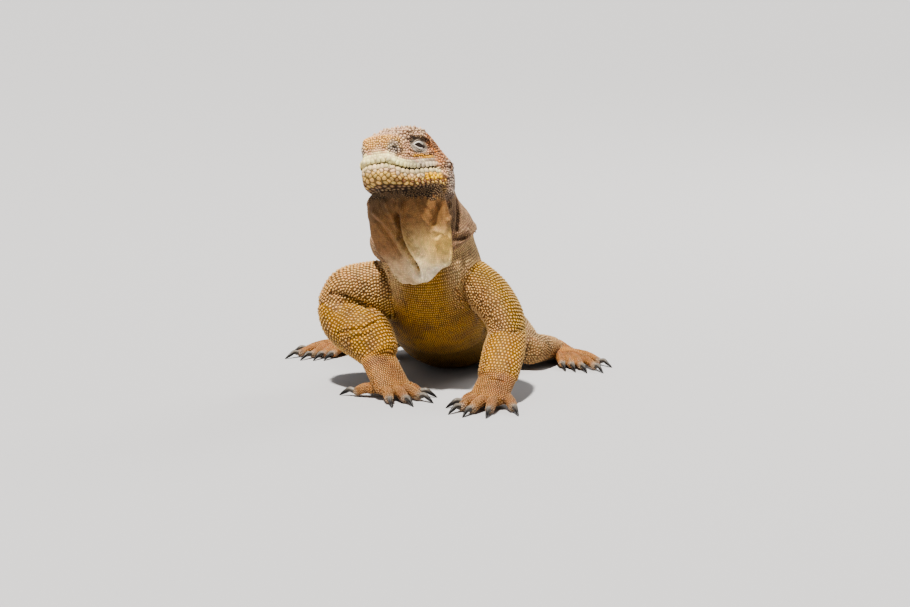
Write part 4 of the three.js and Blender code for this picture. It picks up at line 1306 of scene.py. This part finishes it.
def many(name, corners, faces, tint, spots, maps):
    """One mesh of many small closed shapes that share their faces, with tints and the bake map."""
    count, each = corners.shape[:2]
    corners[..., 2] = np.maximum(corners[..., 2], LOWEST)
    mesh = bpy.data.meshes.new(name)
    mesh.vertices.add(count * each)
    mesh.vertices.foreach_set("co", ((corners.reshape(-1, 3) + SHIFT) * MM).ravel().astype(np.float32))
    flat = np.array([corner for face in faces for corner in face])
    starts = np.concatenate([[0], np.cumsum([len(face) for face in faces])[:-1]])
    shape_number = np.arange(count)[:, None]
    mesh.loops.add(count * len(flat))
    mesh.loops.foreach_set("vertex_index", (flat + shape_number * each).ravel().astype(np.int32))
    mesh.polygons.add(count * len(faces))
    mesh.polygons.foreach_set("loop_start", (starts + shape_number * len(flat)).ravel().astype(np.int32))
    mesh.update(calc_edges=True)
    set_tint(mesh, tint.reshape(-1, 3))
    uv = mesh.uv_layers.new(name="OFBake")
    spots = np.array(spots)[flat] * MAP_SPREAD
    uv.data.foreach_set("uv", (maps[:, None] + spots[None]).ravel().astype(np.float32))
    return add_object(name, mesh)


def hide_finish(name, roughness, grain, bump):
    """Dry horny hide: the painted tint broken up by fine mottling, with a fine grain."""
    finish = bpy.data.materials.new(name)
    finish.use_nodes = True
    nodes, links = finish.node_tree.nodes, finish.node_tree.links
    shader = nodes["Principled BSDF"]
    shader.inputs["Roughness"].default_value = roughness
    shader.inputs["Specular IOR Level"].default_value = 0.25
    tint = nodes.new("ShaderNodeAttribute")
    tint.attribute_name = "Tint"
    place = nodes.new("ShaderNodeTexCoord")
    fine = nodes.new("ShaderNodeTexNoise")
    fine.inputs["Scale"].default_value = grain
    fine.inputs["Detail"].default_value = 4
    links.new(place.outputs["Object"], fine.inputs["Vector"])
    shade = nodes.new("ShaderNodeMapRange")
    shade.inputs["To Min"].default_value = 0.72
    shade.inputs["To Max"].default_value = 1.22
    links.new(fine.outputs["Fac"], shade.inputs["Value"])
    mix = nodes.new("ShaderNodeMix")
    mix.data_type = "RGBA"
    mix.blend_type = "MULTIPLY"
    mix.inputs["Factor"].default_value = 1
    links.new(tint.outputs["Color"], mix.inputs["A"])
    links.new(shade.outputs["Result"], mix.inputs["B"])
    links.new(mix.outputs["Result"], shader.inputs["Base Color"])
    rough = nodes.new("ShaderNodeBump")
    rough.inputs["Strength"].default_value = bump
    rough.inputs["Distance"].default_value = 0.0003
    links.new(fine.outputs["Fac"], rough.inputs["Height"])
    links.new(rough.outputs["Normal"], shader.inputs["Normal"])
    return finish


hide = hide_finish("hide", 0.62, 1400, 0.5)
scale_finish = hide_finish("scales", 0.5, 900, 0.35)
COATS = {
    "coat_head": ("head", "lips", "jaw_rows", "lids"),
    "coat_throat": ("dewlap",),
    "coat_neck": ("neck",),
    "coat_chest": ("chest",),
    "coat_belly": ("belly",),
    "coat_tail": ("tail",),
    "coat_arms": ("fore_upper", "fore_lower"),
    "coat_hands": ("fore_palm", "fore_digit"),
    "coat_legs": ("hind_upper", "hind_lower"),
    "coat_feet": ("hind_palm", "hind_digit"),
}
for name, regions in COATS.items():
    which = np.flatnonzero(np.isin(seeds.region, regions))
    make = plates if name == "coat_head" else keeled_scales
    corners, faces, tint, spots = make(which)
    along, turn = seeds.along[which], seeds.turn[which]
    along = (along - along.min()) / max(np.ptp(along), 1e-6)
    maps = MAP_MARGIN + (1 - 2 * MAP_MARGIN) * np.stack([along, turn % 1], axis=1)
    coat = many(name, corners, faces, tint, spots, maps)
    coat.data.materials.append(scale_finish)
    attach(coat, "root")

taken, _ = nearest(seeds.place, skin_points)
# The skin between the scales takes the tone of their sunk rims, a little darker still: partly the hide's own
# darker tone, partly painted shade in the gaps.
skin_tint = seeds.colour[taken] * shape[taken, 3:4] * 0.9
# The lip line and the hollows of the eyes, nostrils and ears are painted near black: painted shade in the
# groove and the holes.
skin_tint[near_lip_line(skin_points, 1.3)] = paint(0x2A1C14)
skin_tint[in_hollow(skin_points, 1.04)] = paint(0x2E211A)
s, w, z = head_place(skin_points)
eardrum = np.hypot((s - 87) / 6, (z + 1) / 8) < 1
skin_tint[eardrum & (np.abs(w) > 20)] = paint(0x8A6A54)
set_tint(skin_mesh, skin_tint)
skin_mesh.materials.clear()
skin_mesh.materials.append(hide)

# The eyes: dark wet balls with a brown iris round a black pupil, set deep behind the lids and looking out to
# the sides. Each is one closed ball, with the iris and pupil painted on and a clear bulge over them.
EYE_RADIUS = 8.0
PUPIL, IRIS, EYE_RIM = math.radians(12), math.radians(33), math.radians(38)
wet = hide_finish("eyeball", 0.06, 600, 0.0)
wet_shader = wet.node_tree.nodes["Principled BSDF"]
wet_shader.inputs["Coat Weight"].default_value = 1.0
wet_shader.inputs["Coat Roughness"].default_value = 0.03
for hand, word in zip(HANDS, ("right", "left")):
    gaze = unit(head_left * hand * 0.9 - head_back * 0.38 + head_up * 0.05)
    across = unit(np.cross(gaze, head_up))
    above = np.cross(across, gaze)
    fall = np.concatenate([np.linspace(0, EYE_RIM, 18), np.linspace(EYE_RIM, math.pi, 16)[1:]])
    turn = np.linspace(0, 2 * math.pi, 36, endpoint=False)
    fall, turn = np.meshgrid(fall, turn, indexing="ij")
    bulge = EYE_RADIUS - 0.25 + 0.4 * np.exp(-((fall / 0.5) ** 2))
    spread = across * np.cos(turn)[..., None] + above * np.sin(turn)[..., None]
    rings = gaze * np.cos(fall)[..., None] + spread * np.sin(fall)[..., None]
    ball = Forms()
    ball.add_rings(on_head(EYE[0], EYE[1] * hand, EYE[2]) + rings * bulge[..., None])
    eye = add_object(f"eyeball_{word}", ball.mesh(f"eyeball_{word}"))
    offset = unit(read(eye.data.vertices, "co") / MM - SHIFT - on_head(EYE[0], EYE[1] * hand, EYE[2]))
    angle = np.arccos(np.clip(offset @ gaze, -1, 1))
    streaks = ramp(mottle(offset * EYE_RADIUS, 1.2, 9), 0.4, 0.8)
    tint = mixed(np.broadcast_to(paint(0x2E180C), offset.shape), paint(0x5A3416), streaks)
    black = np.maximum(ramp(PUPIL - angle, -0.03, 0.02), ramp(angle, IRIS, EYE_RIM))
    set_tint(eye.data, mixed(tint, paint(0x050404), black))
    eye.data.materials.append(wet)
    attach(eye, "root")
    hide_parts(f"eye_{word}")

# The lids: rolls of thin pale skin along the edges of the opening, with a softer fold beyond each, lying on
# the bulge over the eyeball.
# Each roll's height over the eye's middle, its thickness and colour.
LID_ROLLS = [(3.6, 0.95, 0xEDE6D8), (6.3, 0.85, 0x9A8C7E), (-3.3, 0.85, 0xE4DCCD), (-5.6, 0.8, 0xB3A697)]
lid_finish = hide_finish("lid", 0.5, 1800, 0.2)
for hand, word in zip(HANDS, ("right", "left")):
    rolls = Forms()
    shades = []
    for height, thick, code in LID_ROLLS:
        a = np.linspace(-1, 1, 13)
        across = (8.9 + 0.35 * (abs(height) - 3.3)) * a
        rise = 0.3 + height * (1 - np.abs(a) ** 2.2)
        share = (across / (LID_RADIUS + 3.2)) ** 2 + (rise / (LID_RADIUS + 1)) ** 2
        out = np.sqrt(np.clip(1 - share, 0.02, 1))
        middles = on_head(EYE[0] + 0.5 + across, (EYE[1] + (LID_RADIUS - 0.35) * out) * hand, EYE[2] + rise)
        size = thick * (0.45 + 0.55 * (1 - a**2))
        count = rolls.count
        rolls.add_loft(np.column_stack([middles, size, size, size]), head_left, cap=0.8, around=12, step=0.7)
        shades += [code] * (rolls.count - count)
    lids = add_object(f"lids_{word}", rolls.mesh(f"lids_{word}"))
    set_tint(lids.data, np.array([paint(code) for code in shades]))
    lids.data.materials.append(lid_finish)
    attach(lids, "root")

# The claws: curved, tapered horn with a rounded back and a pale upper edge, partly the horn's own paler tone
# and partly a painted highlight, dark grey towards the point, growing out of each toe's tip and resting on
# it.
CLAW_LENGTH = 17.0
CLAW_START = 0.55  # how far past the middle of the toe's tip it starts, as a share of the toe's radius
horn = hide_finish("horn", 0.34, 700, 0.25)
for limb_name, limb in LIMBS.items():
    radius = DIGIT_RADIUS[limb_name.split("_")[0]]
    for index in range(5):
        toe, ahead, side = digit_rows(limb, index, radius)
        x, y, tip_z = toe[-1][:3]
        places = (0.02, 0.3, 0.55, 0.8, 1.0)
        heights = (tip_z + 1.2, tip_z + 2.2, tip_z * 0.95, tip_z * 0.48, 0.35)
        sizes = (0.56, 0.5, 0.4, 0.26, 0.08)
        rows = []
        for place, height, share in zip(places, heights, sizes):
            px, py, _ = np.array([x, y, 0]) + ahead * (radius * CLAW_START + place * CLAW_LENGTH)
            rows.append((px, py, height, radius * share * 0.78, radius * share, radius * share * 0.9))
        claw = Forms()
        claw.add_loft(rows, side, cap=0.8, around=14, step=0.9)
        name = f"horn_{limb_name}_{index + 1}"
        piece = add_object(name, claw.mesh(name))
        place = read(piece.data.vertices, "co") / MM - SHIFT
        forward = (place - (x, y, 0)) @ (ahead * (1, 1, 0)) / (radius * CLAW_START + CLAW_LENGTH)
        low_line = np.interp(forward, [0, 0.4, 0.7, 1], [tip_z, tip_z + 1.5, tip_z * 0.7, 0])
        tint = mixed(np.broadcast_to(paint(0x4E4842), place.shape), paint(0x1C1A1A), ramp(forward, 0.25, 0.6))
        # The pale upper edge: partly paler horn, partly a painted highlight on the claw's top.
        pale_top_and_highlight = ramp(place[:, 2] - low_line, 0.8, 2.0) * ramp(0.8 - forward, 0, 0.5)
        set_tint(piece.data, mixed(tint, paint(0x8E867C), pale_top_and_highlight * 0.7))
        piece.data.materials.append(horn)
        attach(piece, "root")
        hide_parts(f"claw_{limb_name}_{index + 1}")

# The crest: a single row of pointed horny spines, tall on the nape, low along the back and fading out on the
# tail, each standing on the hide and leaning back.
NAPE_HEIGHT = 8.0
# Each run's first and last station, its count of spines, its first and last height, and a spine's half width.
CREST_RUNS = [
    (1.5, 5.3, 19, NAPE_HEIGHT * 0.65, NAPE_HEIGHT * 0.8, 2.6),
    (5.8, 14.3, 62, 4.8, 3.2, 2.0),
    (14.4, 21.2, 74, 3.4, 1.7, 1.6),
]
CREST_SUNK = 1.2
CREST_LEAN = 0.5
roots, stands, sizes = [], [], []
for start, end, count, first_height, last_height, width in CREST_RUNS:
    f = (np.arange(count) + 0.5) / count
    t = start + (end - start) * f
    tangent = frame_at(SPINE, t, SIDEWAYS)[1]
    ridge, outward = on_loft(SPINE, t, np.full(count, math.pi / 2), SIDEWAYS)
    found, places, facing = find_on_skin(ridge, -outward)
    height = first_height + (last_height - first_height) * f
    if start < 2:
        height = height + NAPE_HEIGHT * 0.3 * np.sin(math.pi * f)
    height = height * np.where(np.arange(count) % 2, 0.85, 1.0) * chance.uniform(0.88, 1.06, count)
    roots.append(places - facing * CREST_SUNK)
    stands.append(unit(facing + tangent[found] * CREST_LEAN))
    wide = np.full(len(found), width)
    sizes.append(np.stack([wide * 0.7, wide, height[found]], axis=1))
roots, stands, sizes = map(np.concatenate, (roots, stands, sizes))
crest_mesh = bpy.data.meshes.new("crest")
crest_mesh.from_pydata(((roots + SHIFT) * MM).tolist(), [], [])
for name, values in (("stand", stands), ("size", sizes * MM)):
    attribute = crest_mesh.attributes.new(name, "FLOAT_VECTOR", "POINT")
    attribute.data.foreach_set("vector", values.ravel().astype(np.float32))
crest = add_object("crest", crest_mesh)
crest_finish = hide_finish("crest_horn", 0.45, 700, 0.3)

tree_of_crest = bpy.data.node_groups.new("crest_spines", "GeometryNodeTree")
tree_of_crest.interface.new_socket("Geometry", in_out="INPUT", socket_type="NodeSocketGeometry")
sides_socket = tree_of_crest.interface.new_socket("Sides", in_out="INPUT", socket_type="NodeSocketInt")
finish_socket = tree_of_crest.interface.new_socket("Finish", in_out="INPUT", socket_type="NodeSocketMaterial")
tree_of_crest.interface.new_socket("Geometry", in_out="OUTPUT", socket_type="NodeSocketGeometry")
nodes, links = tree_of_crest.nodes, tree_of_crest.links
group_in = nodes.new("NodeGroupInput")
group_out = nodes.new("NodeGroupOutput")
cone = nodes.new("GeometryNodeMeshCone")
cone.fill_type = "TRIANGLE_FAN"
cone.inputs["Side Segments"].default_value = 2
cone.inputs["Radius Top"].default_value = 0.04
cone.inputs["Radius Bottom"].default_value = 1.0
cone.inputs["Depth"].default_value = 1.0
stand = nodes.new("GeometryNodeInputNamedAttribute")
stand.data_type = "FLOAT_VECTOR"
stand.inputs["Name"].default_value = "stand"
size = nodes.new("GeometryNodeInputNamedAttribute")
size.data_type = "FLOAT_VECTOR"
size.inputs["Name"].default_value = "size"
turned = nodes.new("FunctionNodeAlignRotationToVector")
turned.axis = "Z"
placed = nodes.new("GeometryNodeInstanceOnPoints")
solid = nodes.new("GeometryNodeRealizeInstances")
dressed = nodes.new("GeometryNodeSetMaterial")
links.new(group_in.outputs["Geometry"], placed.inputs["Points"])
links.new(group_in.outputs["Sides"], cone.inputs["Vertices"])
links.new(cone.outputs["Mesh"], placed.inputs["Instance"])
links.new(stand.outputs["Attribute"], turned.inputs["Vector"])
links.new(turned.outputs["Rotation"], placed.inputs["Rotation"])
links.new(size.outputs["Attribute"], placed.inputs["Scale"])
links.new(placed.outputs["Instances"], solid.inputs["Geometry"])
links.new(solid.outputs["Geometry"], dressed.inputs["Geometry"])
links.new(group_in.outputs["Finish"], dressed.inputs["Material"])
links.new(dressed.outputs["Geometry"], group_out.inputs["Geometry"])
growth = crest.modifiers.new("growth", "NODES")
growth.node_group = tree_of_crest
growth[sides_socket.identifier] = 8
growth[finish_socket.identifier] = crest_finish
crest_mesh = settled(crest)
place = read(crest_mesh.vertices, "co") / MM - SHIFT
taken, _ = nearest(roots, place)
out = ((place - roots[taken]) * stands[taken]).sum(1) / sizes[taken, 2]
near_seed, _ = nearest(seeds.place, roots)
tint = mixed(seeds.colour[near_seed][taken] * 0.75, paint(0xD9B98E), ramp(out, 0.0, 0.8) * 0.8)
set_tint(crest_mesh, tint)
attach(crest, "root")

# The floor and the light: a pale studio floor under a pale sky, a key lamp high in front, a weak fill from
# the left and a lamp behind that draws the outline.
FLOOR_REACH = 30.0
floor = add_object("floor", bpy.data.meshes.new("floor"))
corners = [(x * FLOOR_REACH, y * FLOOR_REACH, 0) for x, y in ((-1, -1), (1, -1), (1, 1), (-1, 1))]
floor.data.from_pydata(corners, [], [(0, 1, 2, 3)])
floor_finish = bpy.data.materials.new("floor")
floor_finish.use_nodes = True
floor_shader = floor_finish.node_tree.nodes["Principled BSDF"]
floor_shader.inputs["Base Color"].default_value = (0.5, 0.5, 0.51, 1)
floor_shader.inputs["Roughness"].default_value = 0.85
floor.data.materials.append(floor_finish)
floor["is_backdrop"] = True

# Each lamp's kind, place, size (for the key lamp the angle it spans), power and colour.
LAMPS_AIM = (0, -0.3, 0.12)
LAMPS = [
    ("key_lamp", "SUN", (-0.17, -1.3, 2.53), math.radians(4), 6.5, (1.0, 0.96, 0.9)),
    ("fill_lamp", "AREA", (-1.5, -1.8, 1.0), 1.6, 5, (0.97, 0.98, 1.0)),
    ("rim_lamp", "AREA", (1.2, 1.4, 1.5), 1.0, 18, (1.0, 0.98, 0.95)),
]
for name, kind, place, size, power, colour in LAMPS:
    lamp = bpy.data.objects.new(name, bpy.data.lights.new(name, kind))
    bpy.context.scene.collection.objects.link(lamp)
    setattr(lamp.data, "angle" if kind == "SUN" else "size", size)
    lamp.data.energy = power
    lamp.data.color = colour
    lamp.location = place
    lamp.rotation_mode = "QUATERNION"
    lamp.rotation_quaternion = (Vector(LAMPS_AIM) - Vector(place)).to_track_quat("-Z", "Y")
world = bpy.data.worlds.new("sky")
world.use_nodes = True
world.node_tree.nodes["Background"].inputs["Color"].default_value = (0.86, 0.9, 0.95, 1)
world.node_tree.nodes["Background"].inputs["Strength"].default_value = 0.3
bpy.context.scene.world = world
bpy.context.scene.view_settings.look = "AgX - Medium High Contrast"

# The dressed model's box, in metres.
low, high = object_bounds()
